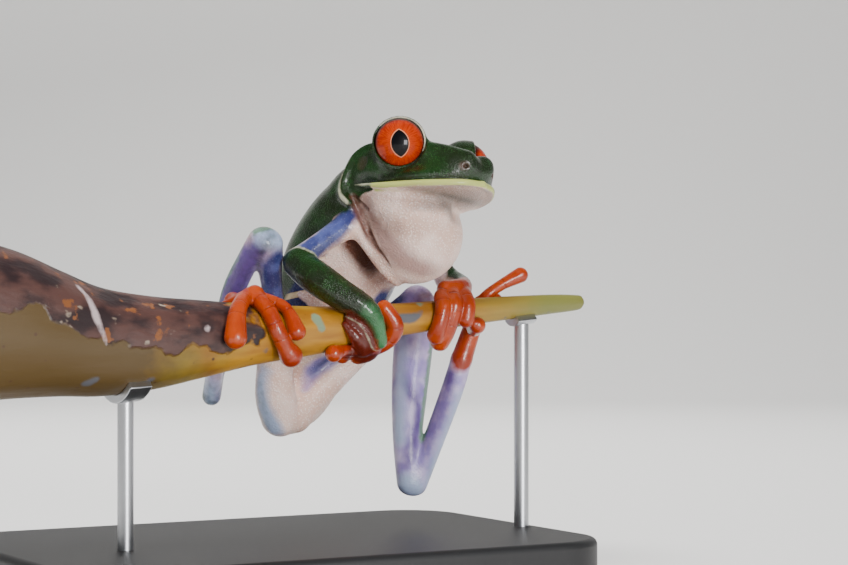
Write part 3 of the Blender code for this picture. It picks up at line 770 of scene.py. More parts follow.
LIMBS = {
    "upper_arm_right": ((10.0, 0.6, 37.4, 1.8), (8.4, -1.3, 36.6, 1.5), (5.0, -1.5, 34.6, 1.15),
                        (2.2, -1.05, 32.6, 1.3)),
    "forearm_right": ((2.2, -1.1, 32.2, 1.5), (3.0, -3.1, 31.0, 1.75), (4.8, -5.3, 29.2, 1.6),
                      (7.4, -6.9, 27.2, 1.25), (8.9, -6.5, 24.2, 0.75)),
    "upper_arm_left": ((17.4, 2.2, 37.0, 1.8), (18.8, 2.6, 36.0, 1.4), (20.8, 3.6, 33.6, 1.15),
                       (22.8, 3.6, 30.9, 1.25)),
    "forearm_left": ((22.9, 3.6, 30.6, 1.25), (23.1, 2.4, 30.3, 1.25), (23.0, 0.8, 30.0, 1.1),
                     (22.2, -1.0, 29.9, 0.9)),
    "thigh_right": ((4.4, 7.4, 15.9, 2.1), (3.4, 6.6, 18.6, 2.15), (2.2, 4.4, 24.2, 1.6),
                    (0.8, 2.2, 30.0, 1.1), (-0.5, 0.8, 34.2, 1.75)),
    "shank_right": ((-1.0, 0.8, 34.4, 1.6), (-1.9, 2.2, 32.6, 1.2), (-2.4, 5.0, 29.0, 1.2),
                    (-2.2, 8.6, 23.0, 1.05), (-2.0, 11.0, 18.2, 0.9)),
    "tarsus_right": ((-2.0, 11.0, 18.1, 0.85), (-3.0, 7.6, 21.8, 0.85), (-4.0, 3.4, 26.2, 0.85),
                     (-4.4, 0.6, 28.4, 0.85)),
    "thigh_left": ((6.2, 7.6, 16.0, 1.9), (9.0, 7.3, 18.9, 1.85), (13.6, 6.2, 23.4, 1.7),
                   (17.2, 5.0, 26.5, 1.6), (19.4, 4.3, 28.2, 1.7)),
    "shank_left": ((19.6, 4.3, 28.1, 1.8), (19.2, 4.2, 25.4, 2.15), (18.4, 3.9, 19.4, 2.0),
                   (17.9, 3.6, 13.4, 1.6), (18.0, 3.2, 8.7, 1.45)),
    "tarsus_left": ((18.6, 3.0, 8.5, 1.25), (19.9, 1.9, 12.6, 1.15), (21.5, 0.5, 18.2, 1.2),
                    (22.4, -0.3, 22.0, 1.15)),
}
HANDS = {
    "hand_right": (
        ((8.8, -6.5, 24.6, 0.8), grip(8.6, -66, 1.0), grip(7.8, -84, 1.0)),
        (grip(5.1, 12, 0.35), grip(6.3, -20, 0.75), grip(7.6, -52, 0.9)),
        (grip(5.5, 24, 0.4), grip(6.9, 0, 0.8), grip(8.2, -40, 1.0)),
        (grip(8.2, -66, 0.75), grip(6.4, -58, 0.65), grip(5.0, -52, 0.65), grip(4.0, -48, 0.9)),
        (grip(8.0, -88, 0.75), grip(6.8, -82, 0.65), grip(5.7, -74, 0.8)),
        (grip(9.2, -76, 0.8), grip(10.6, -46, 0.8), grip(11.0, -8, 0.85), grip(9.9, 37, 0.85)),
        (grip(9.0, -96, 0.8), grip(10.0, -140, 0.7), grip(10.5, 180, 0.7), grip(10.4, 150, 0.9)),
    ),
    "hand_left": (
        ((22.2, -1.0, 29.9, 0.9), grip(20.6, 100, 1.1, 0.1), grip(18.4, 84, 1.0, 0.2)),
        (grip(18.4, 84, 0.85), grip(17.3, 60, 0.8), grip(17.0, 27, 0.85), grip(16.5, -22, 0.8),
         grip(16.5, -55, 0.95)),
        (grip(19.4, 88, 0.85), grip(18.6, 60, 0.85), grip(18.3, 23, 0.9), grip(17.8, -43, 0.85),
         (17.4, -4.2, 24.1, 1.05)),
        (grip(20.6, 88, 0.8), grip(20.2, 55, 0.8), grip(19.9, 20, 0.9), grip(19.7, -16, 0.9)),
        (grip(20.4, 105, 0.8), grip(20.2, 135, 0.7), grip(19.8, 170, 0.7), grip(19.4, 190, 0.9)),
    ),
    "foot_right": (
        ((-4.4, 0.6, 28.4, 0.9), grip(-4.4, 125, 1.0), grip(-4.2, 82, 1.0, 0.1)),
        (grip(-4.4, 95, 0.85), grip(-6.0, 66, 0.8), grip(-7.6, 34, 0.9), grip(-8.3, 2, 1.15)),
        (grip(-4.4, 80, 0.9), grip(-3.9, 45, 0.85), grip(-3.3, 10, 0.85), grip(-2.3, -18, 0.9),
         grip(-1.5, -33, 1.2)),
        (grip(-3.6, 84, 0.75), grip(-2.0, 60, 0.65), grip(-1.4, 40, 0.65), grip(-1.0, 4, 0.95)),
        (grip(-5.0, 125, 0.8), grip(-7.4, 145, 0.65), grip(-9.6, 150, 0.65), grip(-10.2, 152, 0.9)),
        (grip(-4.0, 125, 0.8), grip(-1.8, 138, 0.65), grip(0.0, 150, 0.65), grip(0.6, 154, 0.9)),
    ),
    "foot_left": (
        ((22.4, -0.3, 22.0, 1.15), (23.1, -0.7, 24.4, 1.05), grip(23.7, 190, 0.95),
         grip(24.0, 165, 0.9)),
        (grip(24.0, 165, 0.8), grip(24.6, 125, 0.65, 0.1), (25.9, -2.7, 30.0, 0.6),
         (28.2, -3.0, 31.1, 0.85)),
        (grip(23.6, 200, 0.8), grip(22.6, 235, 0.7), grip(21.9, 275, 0.7), grip(21.4, 320, 0.9)),
        (grip(23.8, 195, 0.8), grip(25.4, 191, 0.65), grip(26.8, 181, 0.65), grip(27.4, 176, 0.85)),
        (grip(23.8, 170, 0.8), grip(24.6, 156, 0.65), grip(25.3, 153, 0.65), grip(25.8, 152, 0.72)),
        (grip(23.6, 188, 0.8), grip(22.4, 190, 0.65), grip(21.7, 192, 0.72)),
    ),
}
BONE_BLEND = 0.5
DIGIT_BLEND = 0.22
ARM_BLEND = 0.9
LEG_BLEND = 0.6
CHAINS = (
    ("upper_arm_right", "forearm_right", "hand_right"),
    ("upper_arm_left", "forearm_left", "hand_left"),
    ("thigh_right", "shank_right", "tarsus_right", "foot_right"),
    ("thigh_left", "shank_left", "tarsus_left", "foot_left"),
)
for chain in CHAINS:
    strokes = []
    for name in chain:
        if name in LIMBS:
            strokes.append((LIMBS[name], BONE_BLEND))
        else:
            strokes += [(stroke, DIGIT_BLEND) for stroke in HANDS[name]]
    low, high = box_round(np.array([station for stroke, _ in strokes for station in stroke]), 2.0)
    limb = Sculpt(np.maximum(low, LOW + 0.2), np.minimum(high, HIGH - 0.2))
    for stroke, blend in strokes:
        limb.add(stroke, blend)
    skin_field.join(limb, ARM_BLEND if "arm" in chain[0] else LEG_BLEND)

# the fold from the jaw down beside the throat, and the web of skin from the arm to the chest
skin_field.add([(8.5, -2.3, 36.0, 0.75), (9.2, -2.5, 34.6, 0.6), (10.1, -3.2, 33.0, 0.5),
                (11.4, -3.4, 31.3, 0.4), (13.2, -2.4, 30.2, 0.3)], 0.9)
NECK_FOLD = ((8.0, -2.4, 39.1, 0.22), (8.4, -2.7, 38.0, 0.28), (8.85, -3.0, 36.6, 0.3),
             (9.45, -3.2, 35.3, 0.3), (9.9, -3.8, 34.2, 0.26), (10.3, -4.6, 33.2, 0.16),
             (11.2, -4.8, 32.2, 0.05))
JAW_FOLD = ((8.3, -2.6, 39.0, 0.16), (8.6, -2.9, 38.6, 0.2), (9.1, -3.8, 37.9, 0.16))
skin_field.add(NECK_FOLD, 0.35, cut=True)
skin_field.add(JAW_FOLD, 0.3, cut=True)


def surface_of(field):
    """Points and quads of the zero surface of a distance field: one point to each crossed cell."""
    inside = field < 0.0
    crossed = np.zeros(tuple(n - 1 for n in field.shape), dtype=np.int8)
    corners = [(i, j, k) for i in (0, 1) for j in (0, 1) for k in (0, 1)]
    nx, ny, nz = field.shape
    for i, j, k in corners:
        crossed += inside[i:nx - 1 + i, j:ny - 1 + j, k:nz - 1 + k]
    cells = np.argwhere((crossed > 0) & (crossed < 8))
    number = np.full(crossed.shape, -1, dtype=np.int32)
    number[tuple(cells.T)] = np.arange(len(cells))
    value = {c: field[tuple((cells + c).T)].astype(np.float64) for c in corners}
    total = np.zeros((len(cells), 3))
    count = np.zeros(len(cells))
    for a in corners:
        for axis in range(3):
            if a[axis]:
                continue
            b = tuple(1 if n == axis else a[n] for n in range(3))
            start, end = value[a], value[b]
            hit = (start < 0.0) != (end < 0.0)
            share = np.where(hit, start / np.where(hit, start - end, 1.0), 0.0)
            for n in range(3):
                total[:, n] += np.where(hit, a[n] + (share if n == axis else 0.0), 0.0)
            count += hit
    points = LOW + GRID * (cells + total / count[:, None])
    quads = []
    for axis in range(3):
        u, v = [n for n in range(3) if n != axis]
        first = [slice(None)] * 3
        second = [slice(None)] * 3
        first[axis], second[axis] = slice(0, -1), slice(1, None)
        change = inside[tuple(first)] != inside[tuple(second)]
        at = np.argwhere(change)
        at = at[(at[:, u] > 0) & (at[:, v] > 0) & (at[:, u] < field.shape[u] - 1)
                & (at[:, v] < field.shape[v] - 1)]
        ring = []
        for du, dv in ((1, 1), (0, 1), (0, 0), (1, 0)):
            cell = at.copy()
            cell[:, u] -= du
            cell[:, v] -= dv
            ring.append(number[tuple(cell.T)])
        quad = np.stack(ring, axis=1)
        outward = inside[tuple(at.T)]
        if axis == 1:
            outward = ~outward
        quad[~outward] = quad[~outward][:, ::-1]
        quads.append(quad)
    return points, np.concatenate(quads)


points, quads = surface_of(skin_field.field)
skin = mesh_of("skin", points, quads)
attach(skin, "root")
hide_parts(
    "head", "trunk", "vocal_sac", "upper_arm_left", "upper_arm_right", "forearm_left",
    "forearm_right", "hand_left", "hand_right", "thigh_left", "thigh_right", "shank_left",
    "shank_right", "tarsus_left", "tarsus_right", "foot_left", "foot_right",
)

# colouring: each colour is laid on along strokes, as the distance in from the edge of its area
skin_points = points.astype(np.float32)
head_points = (skin_points - HEAD[:3, 3]) @ HEAD[:3, :3]
RIGHTWARD = np.array([0.866, -0.5, 0.0])
NEARWARD = np.array([-0.5, -0.866, 0.0])
neighbours = np.bincount(quads.ravel(), minlength=len(points)).astype(np.float32)


def smoothed(values, rounds):
    """Values averaged with those around them on the skin, so that an edge runs clean."""
    for _ in range(rounds):
        means = values[quads].mean(axis=1)
        total = sum(np.bincount(quads[:, n], means, len(points)) for n in range(4))
        values = (total / neighbours).astype(np.float32)
    return values


def beside(stations, right=0.0, up=0.0, near=0.0, radius=None):
    """Stations moved to one side of a limb: right, up, or towards the front."""
    move = RIGHTWARD * right + NEARWARD * near + np.array([0.0, 0.0, up])
    return [(*(np.array(s[:3]) + move), s[3] if radius is None else radius) for s in stations]


def widened(stations, factor=1.0, more=0.0):
    """A stroke along the same line with larger radii."""
    return [(x, y, z, factor * radius + more) for x, y, z, radius in stations]


def reach_of(*strokes, steps=4):
    """How far each point of the skin lies inside some strokes."""
    return reach_into(skin_points, *strokes, steps=steps)


def lay_on(name, values, rounds=2):
    """Keeps one colour's distances on the skin, its edge smoothed."""
    keep_layer(skin, name, smoothed(np.clip(values, -PAINT_REACH, PAINT_REACH), rounds))


def lay_along(name, rounds, *strokes):
    """Lays one colour on along some strokes."""
    lay_on(name, reach_of(*strokes), rounds)


near_digits = np.minimum.reduce([-reach_of(*strokes) for strokes in HANDS.values()])
near_bones = np.minimum.reduce([-reach_of(stations) for stations in LIMBS.values()])
near_limb = np.minimum(near_digits, near_bones)

# the trunk's own round: how deep in its back each point lies
spine = smooth_run(TRUNK, 6)[::-1]
centre_x, centre_y, half_depth, turn = [
    np.interp(skin_points[:, 2], spine[:, 2], spine[:, n]) for n in (0, 1, 4, 5)
]
turn = np.radians(turn)
from_x, from_y = skin_points[:, 0] - centre_x, skin_points[:, 1] - centre_y
depth = (from_y * np.cos(turn) - from_x * np.sin(turn)) / np.maximum(half_depth, 1.0)
level = skin_points[:, 2]
on_trunk = np.minimum(near_limb - 0.1, PAINT_REACH)

# upper head: all that stands above the lip, forward of the neck
x, y, z = head_points.T
lip_x, lip_z = np.array([(station[0], station[2]) for station in LIP]).T
lip_line = np.interp(x, lip_x, lip_z) + y * math.sin(math.radians(JAW_TILT))
mouth_end = np.interp(x, (-5.4, -3.4, -2.4, -1.8), (0.5, 0.65, 0.55, -0.34))
above_lip = np.minimum(z - lip_line + mouth_end, x + 8.2)
back_edge = np.interp(level, (28.0, 36.0), (0.12, -0.6))
back = np.minimum(2.2 * (depth - back_edge), on_trunk)
WRIST_BACK = ((7.9, -7.4, 26.8, 0.6), (8.9, -7.3, 25.2, 0.55), (9.0, -7.2, 24.0, 0.4))
forearms = reach_of(
    beside(LIMBS["forearm_right"], near=0.4), beside(LIMBS["forearm_left"], right=0.5, up=0.4),
    WRIST_BACK,
) + 0.3
in_front = (x > -8.2) & (np.abs(y) < 8.0)
facing_up = np.empty(len(points) * 3, dtype=np.float32)
skin.data.vertices.foreach_get("normal", facing_up)
facing_up = facing_up.reshape(-1, 3) @ HEAD[:3, 2]
leaf_area = np.maximum.reduce([back, np.where(in_front, above_lip, -PAINT_REACH), forearms])
lay_on("green", leaf_area)

# yellow lip, the rims of the eyelids, and the pale ridge of the ear fold and edge of the forearm
lip_band = np.minimum.reduce([
    0.52 - np.abs(z - lip_line + 0.1), 0.35 * (x + 2.15), 0.5 * facing_up + 0.41
])
lay_on("lip", np.where(in_front, lip_band, -PAINT_REACH), 1)
LID_LINE = 2.66
lids = []
for side in (1.0, -1.0):
    _, facing = eye_axes(side)
    turned = [(-side * math.cos(a), math.sin(a)) for a in np.linspace(-0.12 * math.pi, 0.78 * math.pi, 40)]
    lids.append([
        (*(facing @ Vector((LID_OUT + 0.06, LID_LINE * across, LID_LINE * up))), 0.085)
        for across, up in turned
    ])
lay_on("lid", reach_of(*lids, steps=1), 0)
crest = [(x - 0.1, -y - 0.3, z, 0.06 + 0.06 * max(-z - 2.0, 0.0)) for x, y, z, _ in EAR_FOLD[2:]]
corner = [(x, -y - 0.2, z + 0.1, 0.14) for x, y, z, _ in LIP[:3]]
forearm_edge = np.where(skin_points[:, 0] < 10.0, 0.05 - np.abs(forearms - 0.03), -PAINT_REACH)
lay_on("pale", np.maximum(reach_of(in_head(crest), in_head(corner, jaw_frame)), forearm_edge), 1)

# blue and lilac of the flanks, arms and legs
flank = np.minimum.reduce([
    2.0 * (0.36 - np.abs(depth + 0.2)), on_trunk, 36.5 - level, level - 23.5
])
lay_on("flank", np.minimum(flank, -reach_of([(6.4, 3.4, 28.5, 1.0), (5.3, 4.3, 29.1, 0.4)])), 6)
lay_on("bars", np.sin(level * 1.9 + 2.0 * depth + 3.4))
lay_along(
    "blue", 2,
    [(7.6, -2.1, 37.2, 1.1), (6.2, -2.3, 36.2, 1.3), (4.5, -2.5, 34.8, 1.4),
     (2.4, -2.3, 33.3, 1.4)],
    LIMBS["upper_arm_left"],
    [(-0.2, 0.3, 33.4, 1.2), (0.3, 0.6, 31.8, 1.5), (0.7, 1.2, 30.2, 1.6), (1.0, 2.0, 28.4, 1.7)],
    [(6.8, 6.0, 19.6, 0.3), (7.7, 6.0, 20.8, 0.5), (9.3, 5.5, 22.0, 0.5), (11.0, 5.0, 23.4, 0.4)],
    [(14.6, 3.8, 28.4, 1.2), (17.0, 4.2, 28.6, 1.0)],
    [(16.6, 5.3, 28.8, 1.2), (14.9, 5.6, 27.6, 1.0)],
)
lay_along(
    "lilac", 2,
    beside(LIMBS["shank_right"], radius=1.5),
    beside(LIMBS["shank_left"], radius=2.6),
    beside(LIMBS["tarsus_left"], radius=1.5),
    beside(LIMBS["tarsus_right"], radius=1.1),
    LIMBS["thigh_left"][4:] + ((19.6, 4.3, 28.1, 2.1),),
    beside(LIMBS["thigh_right"][3:4], radius=1.6) + beside(LIMBS["thigh_right"][2:3], radius=1.6),
    [(-0.4, 0.8, 34.2, 1.9), (0.2, 1.2, 32.6, 1.6)],
    [(6.6, 6.0, 19.2, 0.6), (7.6, 6.0, 20.8, 0.9), (9.3, 5.5, 22.0, 0.9), (11.4, 5.0, 23.6, 0.9)],
)
lay_along(
    "stripe", 4,
    [(16.3, 3.2, 23.6, 0.8), (16.4, 3.0, 21.0, 0.75), (17.3, 2.2, 18.4, 0.6),
     (18.4, 1.9, 16.4, 0.45), (17.6, 2.2, 12.6, 0.6), (17.2, 2.3, 10.6, 0.35)],
    [(19.6, 2.2, 9.5, 0.5), (19.6, 1.4, 13.0, 0.6), (20.6, 0.2, 17.0, 0.6), (21.0, -0.4, 20.4, 0.6)],
    beside(LIMBS["shank_right"][:4], right=0.1, near=0.9, radius=1.15),
)
lay_along(
    "frost", 4,
    [(-0.9, -0.3, 35.2, 1.5), (0.0, -0.2, 34.6, 1.3)],
    [(3.0, 6.0, 13.8, 1.2), (2.2, 6.2, 16.2, 1.0), (1.6, 6.0, 18.4, 0.9), (1.5, 5.0, 21.0, 0.8)],
    [(-2.6, 9.4, 19.8, 1.0), (-2.7, 10.8, 17.7, 1.1)],
    beside(LIMBS["tarsus_left"][:3], right=0.9, near=0.4, radius=0.6),
    beside(LIMBS["shank_left"][1:4], right=-0.9, near=1.2, radius=0.75),
    [(17.4, 2.6, 8.6, 1.3), (18.0, 2.4, 8.2, 1.2)],
)
lay_along(
    "slate", 3,
    beside(LIMBS["shank_right"], right=-1.05, radius=0.5),
    [(-1.9, 0.2, 36.0, 0.8), (-0.7, 0.2, 36.3, 0.8)],
    beside(LIMBS["shank_left"][1:4], right=1.7, near=0.7, radius=0.55),
    [(17.8, -4.0, 30.6, 0.6), (19.8, -4.2, 29.9, 0.5), (21.0, -4.9, 28.7, 0.4),
     (21.0, -5.4, 27.2, 0.3)],
    [(-5.6, -2.8, 29.6, 0.7), (-6.6, -4.8, 29.2, 0.6)],
)

# orange hands and feet, and the deep red painted shade on the palm that lies in shade under the right arm
digits = np.minimum(near_bones - near_digits + 0.1, 0.6 - near_digits)
digits = np.minimum(digits, -reach_of(widened(WRIST_BACK, more=0.3)))
ankle = reach_of([(21.9, -0.1, 20.4, 0.7), (22.3, -0.8, 22.4, 1.3), (22.6, -0.7, 24.6, 1.6)])
lay_on("orange", np.maximum(digits, ankle), 3)
lay_along("fresh", 3, [(7.0, -7.6, 27.4, 0.7), (8.6, -7.4, 25.4, 1.0), (9.0, -7.2, 24.0, 0.9)])

# creases across the digits, a joint's length apart, from behind the pad to short of the palm; they are
# sunk, and darkened as painted shade
CREASE_APART = 1.5
CREASE_HALF_WIDTH = 0.07
PAD_LENGTH = 1.6
PALM_LENGTH = 0.8
crease = np.full(len(points), -PAINT_REACH, dtype=np.float32)
nearest = np.full(len(points), 1.2, dtype=np.float32)
for strokes in HANDS.values():
    for stations in strokes[1:]:
        run = smooth_run(stations, 3)
        steps = np.linalg.norm(np.diff(run[:, :3], axis=0), axis=1)
        starts = np.concatenate([[0.0], np.cumsum(steps)])
        near = np.where((np.abs(skin_points - run[:, :3].mean(axis=0)) < starts[-1]).all(axis=1))[0]
        if not len(near):
            continue
        for n, length in enumerate(steps):
            offset = skin_points[near] - run[n, :3]
            along = offset @ ((run[n + 1, :3] - run[n, :3]) / max(length, 1e-3))
            along = np.clip(along, 0.0, length)
            gap = cone_distance(*skin_points[near].T, run[n], run[n + 1])
            left = starts[-1] - (starts[n] + along)
            lines = CREASE_HALF_WIDTH - np.abs((left - 1.55) % CREASE_APART - CREASE_APART / 2.0)
            on_digit = (left > PAD_LENGTH) & (left < starts[-1] - PALM_LENGTH)
            lines = np.where(on_digit, lines, -PAINT_REACH)
            closer = gap < nearest[near]
            nearest[near] = np.where(closer, gap, nearest[near])
            crease[near] = np.where(closer, lines, crease[near])
lay_on("crease", crease, 1)
# painted shade: deep red over the right palm under the forearm and over the fingers under the stem
lay_along(
    "red", 3,
    [grip(5.2, 18, 1.0), grip(6.4, -8, 1.3), grip(7.4, -36, 1.2), grip(8.0, -60, 1.0)],
    [(8.6, -5.0, 22.6, 1.2), (6.4, -5.2, 22.9, 1.0)],
)
# painted shade: brown laid along the neck and jaw folds, where shade falls in the grooves
lay_along("fold_shade", 2, widened(NECK_FOLD, 1.4, 0.1), widened(JAW_FOLD, more=0.12))
# painted shade: red-brown in the armpit between arm and throat sac and in the hollow between thigh and
# shank; the first stroke is a brown patch at the shoulder
lay_along(
    "shoulder_brown_and_shade", 4,
    [(7.4, -2.7, 38.3, 0.5), (7.9, -2.5, 37.8, 0.6), (7.2, -1.6, 38.0, 0.8)],
    [(8.9, -0.6, 34.4, 1.2), (9.8, -0.4, 33.8, 1.4), (10.8, -0.2, 32.8, 1.3), (12.2, 0.2, 31.4, 1.1)],
    [(-1.2, 0.6, 32.0, 0.6), (-1.0, 2.4, 30.0, 0.6)],
)
# painted shade: a pinkish-grey darkening over the throat sac's left and lower side, which is turned from
# the light
lay_along(
    "sac_shade", 6,
    [(8.2, -3.8, 37.6, 1.0), (9.8, -5.4, 34.8, 1.3), (12.0, -6.8, 32.2, 1.3), (15.2, -7.4, 30.8, 1.1)],
    [(9.6, -4.2, 38.6, 1.0), (11.0, -7.0, 36.4, 0.9)],
)
lay_on("granular", np.minimum(-leaf_area, np.maximum(
    on_trunk - 0.1,
    reach_of([(13.6, -2.6, 38.2, 5.2), (14.7, -3.4, 35.3, 5.8)], LIMBS["thigh_left"],
             LIMBS["thigh_right"][:4], beside(LIMBS["upper_arm_right"], up=-1.0)) + 0.3,
)))

# painted shade under the chin, ahead of the sac, darkest towards the snout; the ear discs and the nostrils
lay_on("chin_shade", np.minimum.reduce([
    1.2 * (lip_line - z - 0.3), 0.3 * (x - 2.0), z + 7.0, 2.0 * (7.0 - np.hypot(x, y))
]), 3)
lay_along("ear", 2, *both_sides([(-4.1, 6.1, -1.5, 0.62), (-4.15, 6.1, -1.75, 0.62)]))
lay_along("nostril", 1, *both_sides([(6.6, 2.1, -2.95, 0.4), (6.45, 2.3, -3.0, 0.4)]))

# hide: cream, with each colour painted over its own area, some of them painted shade, and green leaf
# colour over the back
hide, tree, surface = material_of("frog_skin")
cobbles = grains_of(tree, 4300.0, 0.8, 0.0)
fine_grains = grains_of(tree, 6200.0, 0.7, 0.1)
cream = mottled(tree, (0.64, 0.42, 0.34), (0.76, 0.57, 0.5), 0.35, 0.65, 260.0)
cream = mixed(tree, band_of(tree, cobbles, 0.45, 0.95), cream, (0.86, 0.75, 0.7))
bar = node_of(tree, "Attribute", {})
bar.attribute_name = "bars"
bar = band_of(tree, bar.outputs["Fac"], 0.72, 0.86)
barred = mixed(tree, bar, (0.008, 0.014, 0.07), (0.55, 0.44, 0.24))
lilac = mottled(tree, (0.26, 0.2, 0.48), (0.55, 0.47, 0.7), 0.35, 0.7, 420.0)
violet = mottled(tree, (0.025, 0.03, 0.12), (0.065, 0.08, 0.24), 0.35, 0.7, 520.0)
violet = mixed(tree, times(tree, band_of(tree, cobbles, 0.6, 1.0), 0.25), violet, (0.2, 0.24, 0.45))
leaf = mottled(tree, (0.007, 0.014, 0.003), (0.007, 0.034, 0.005), 0.35, 0.7, 350.0, 3.0)
speckle = times(tree, band_of(tree, fine_grains, 0.5, 0.95),
                band_of(tree, noise_of(tree, 1100.0), 0.42, 0.66))
leaf = mixed(tree, speckle, leaf, (0.022, 0.09, 0.018))
ember = mottled(tree, (0.26, 0.019, 0.0006), (0.38, 0.042, 0.001), 0.3, 0.7, 300.0)
crease = mask_of(tree, "crease", 0.1, 0.12)
# painted shade: the digits are darkened along their creases
ember = mixed(tree, times(tree, crease, 0.7), ember, (0.14, 0.007, 0.0005))
leafy = mask_of(tree, "green", 0.25, 0.25, 1500.0)
colour = painted(
    tree, cream,
    # painted shade on the throat sac's left and lower side
    ("sac_shade", (0.38, 0.24, 0.21), 0.6, 1.3),
    ("flank", barred, 0.8, 0.2, 600.0),
    # painted shade in the armpit and between thigh and shank, with a brown patch at the shoulder
    ("shoulder_brown_and_shade", (0.09, 0.028, 0.014), 0.5, 1.1),
    ("lilac", lilac, 0.5, 0.7),
    ("stripe", (0.1, 0.06, 0.22), 0.6, 0.9),
    ("frost", (0.34, 0.41, 0.58), 0.5, 0.9),
    ("blue", violet, 1.0, 0.8, 500.0),
    ("slate", (0.16, 0.26, 0.2), 0.7, 0.4, 2200.0),
)
colour = mixed(tree, leafy, colour, leaf)
fresh = times(tree, mask_of(tree, "fresh", 0.2, 1.0), leafy)
colour = mixed(tree, fresh, colour, (0.035, 0.15, 0.05))
colour = painted(
    tree, colour,
    # painted shade under the chin
    ("chin_shade", (0.12, 0.095, 0.08), 0.3, 1.0),
    ("ear", (0.03, 0.03, 0.013), 0.1, 0.4),
    ("nostril", (0.05, 0.025, 0.015), 0.1, 0.4),
    ("orange", ember, 0.3, 0.3),
    # painted shade on the right palm and fingers, in deep red
    ("red", (0.09, 0.008, 0.002), 0.3, 0.6),
    # painted shade in the neck and jaw folds
    ("fold_shade", (0.1, 0.035, 0.024), 0.3, 0.5, 700.0),
    ("pale", (0.42, 0.42, 0.29), 0.2, 0.16, 1800.0),
    ("lip", (0.4, 0.43, 0.12), 0.1, 0.12),
    ("lid", (0.7, 0.66, 0.52), 0.1, 0.1),
)

# relief and shine: cobbled where it is bare, finely grained and wet on the green, dull in the nostrils
lips = math_node(tree, "ADD", mask_of(tree, "lip", 0.1), mask_of(tree, "lid", 0.1), clamp=True)
granular = times(tree, mask_of(tree, "granular", 0.3, 0.8, 700.0),
                 math_node(tree, "SUBTRACT", 1.0, lips))
nostril = mask_of(tree, "nostril", 0.2, 0.8)
bumps = times(tree, times(tree, cobbles, granular), 0.85)
leaf_bumps = times(tree, times(tree, fine_grains, leafy), 0.5)
wrinkles = math_node(tree, "SUBTRACT", times(tree, noise_of(tree, 900.0, 3.0), 0.6),
                     times(tree, crease, 0.8))
height = math_node(tree, "ADD", math_node(tree, "ADD", bumps, leaf_bumps), wrinkles)
wet = math_node(tree, "ADD", leafy, mask_of(tree, "orange", 0.3), clamp=True)
wet = math_node(tree, "ADD", wet, mask_of(tree, "blue", 1.0, 0.25, 500.0), clamp=True)
wet = math_node(tree, "SUBTRACT", wet, nostril, clamp=True)
dull = math_node(tree, "ADD", granular, nostril)
feed(surface, {
    "Base Color": colour,
    "Normal": relief_of(tree, height, 0.8, 0.00009),
    "Roughness": math_node(tree, "MULTIPLY_ADD", dull, 0.2, 0.3),
    "Coat Weight": math_node(tree, "MULTIPLY_ADD", wet, 0.32, 0.06),
    "Coat Roughness": 0.12,
    "Specular IOR Level": 0.38,
    "Subsurface Weight": 0.12,
    "Subsurface Radius": (1.0, 0.35, 0.2),
    "Subsurface Scale": 0.0006,
})
skin.data.materials.append(hide)

# ---------------------------------------------------------------- eyes
# Two wet glassy balls set in the sockets. Each has an orange-red iris with fine dark threads, a
# dark outer ring, and an upright black pupil, pointed at both ends and edged with a pale line.
PUPIL_HALF_HEIGHT = 1.4
PUPIL_HALF_WIDTH = 0.9
IRIS_RADIUS = 2.42
THREADS_OUT = 0.12
EYEBALL_GAP = 0.02
EYE_ROLL = 5.0
GAZE = Vector((0.665, -0.68, -0.285)).normalized()
UPWARD = Vector((0.156, -0.205, 0.966))

arc = (PUPIL_HALF_HEIGHT**2 + PUPIL_HALF_WIDTH**2) / (2 * PUPIL_HALF_WIDTH)
iris, tree, surface = material_of("iris")
parts = node_of(tree, "SeparateXYZ", {0: object_place(tree)})
side_mm = times(tree, parts.outputs["Y"], 1.0 / MM)
up_mm = times(tree, parts.outputs["Z"], 1.0 / MM)
up_square = times(tree, up_mm, up_mm)
rim_radius = math_node(tree, "SQRT", math_node(tree, "ADD", up_square, times(tree, side_mm, side_mm)))
shifted = math_node(tree, "ADD", math_node(tree, "ABSOLUTE", side_mm), arc - PUPIL_HALF_WIDTH)
from_arc = math_node(tree, "SQRT", math_node(tree, "ADD", times(tree, shifted, shifted), up_square))
pupil_gap = math_node(tree, "SUBTRACT", from_arc, arc)
angle = math_node(tree, "ARCTAN2", up_mm, side_mm)
ray = node_of(tree, "CombineXYZ", {
    0: math_node(tree, "COSINE", angle), 1: math_node(tree, "SINE", angle),
    2: times(tree, rim_radius, THREADS_OUT),
})
threads = node_of(tree, "TexNoise", {
    "Scale": 16.0, "Detail": 4.0, "Roughness": 0.6, "Vector": ray.outputs[0],
})
thread = band_of(tree, threads.outputs["Fac"], 0.35, 0.62)
flame = mixed(tree, thread, (0.25, 0.009, 0.0003), (0.42, 0.032, 0.0005))
for share, paint in (
    (times(tree, band_of(tree, rim_radius, 2.3, 0.9), 0.35), (0.5, 0.055, 0.0005)),
    (band_of(tree, rim_radius, IRIS_RADIUS - 0.18, IRIS_RADIUS + 0.12), (0.02, 0.002, 0.001)),
    (band_of(tree, pupil_gap, 0.1, 0.05), (0.7, 0.26, 0.14)),
    (band_of(tree, pupil_gap, 0.035, -0.03), (0.002, 0.002, 0.003)),
):
    flame = mixed(tree, share, flame, paint)
feed(surface, {
    "Base Color": flame, "Roughness": 0.45, "Specular IOR Level": 0.1,
    "Coat Weight": 0.3, "Coat Roughness": 0.02, "Coat IOR": 1.45,
})

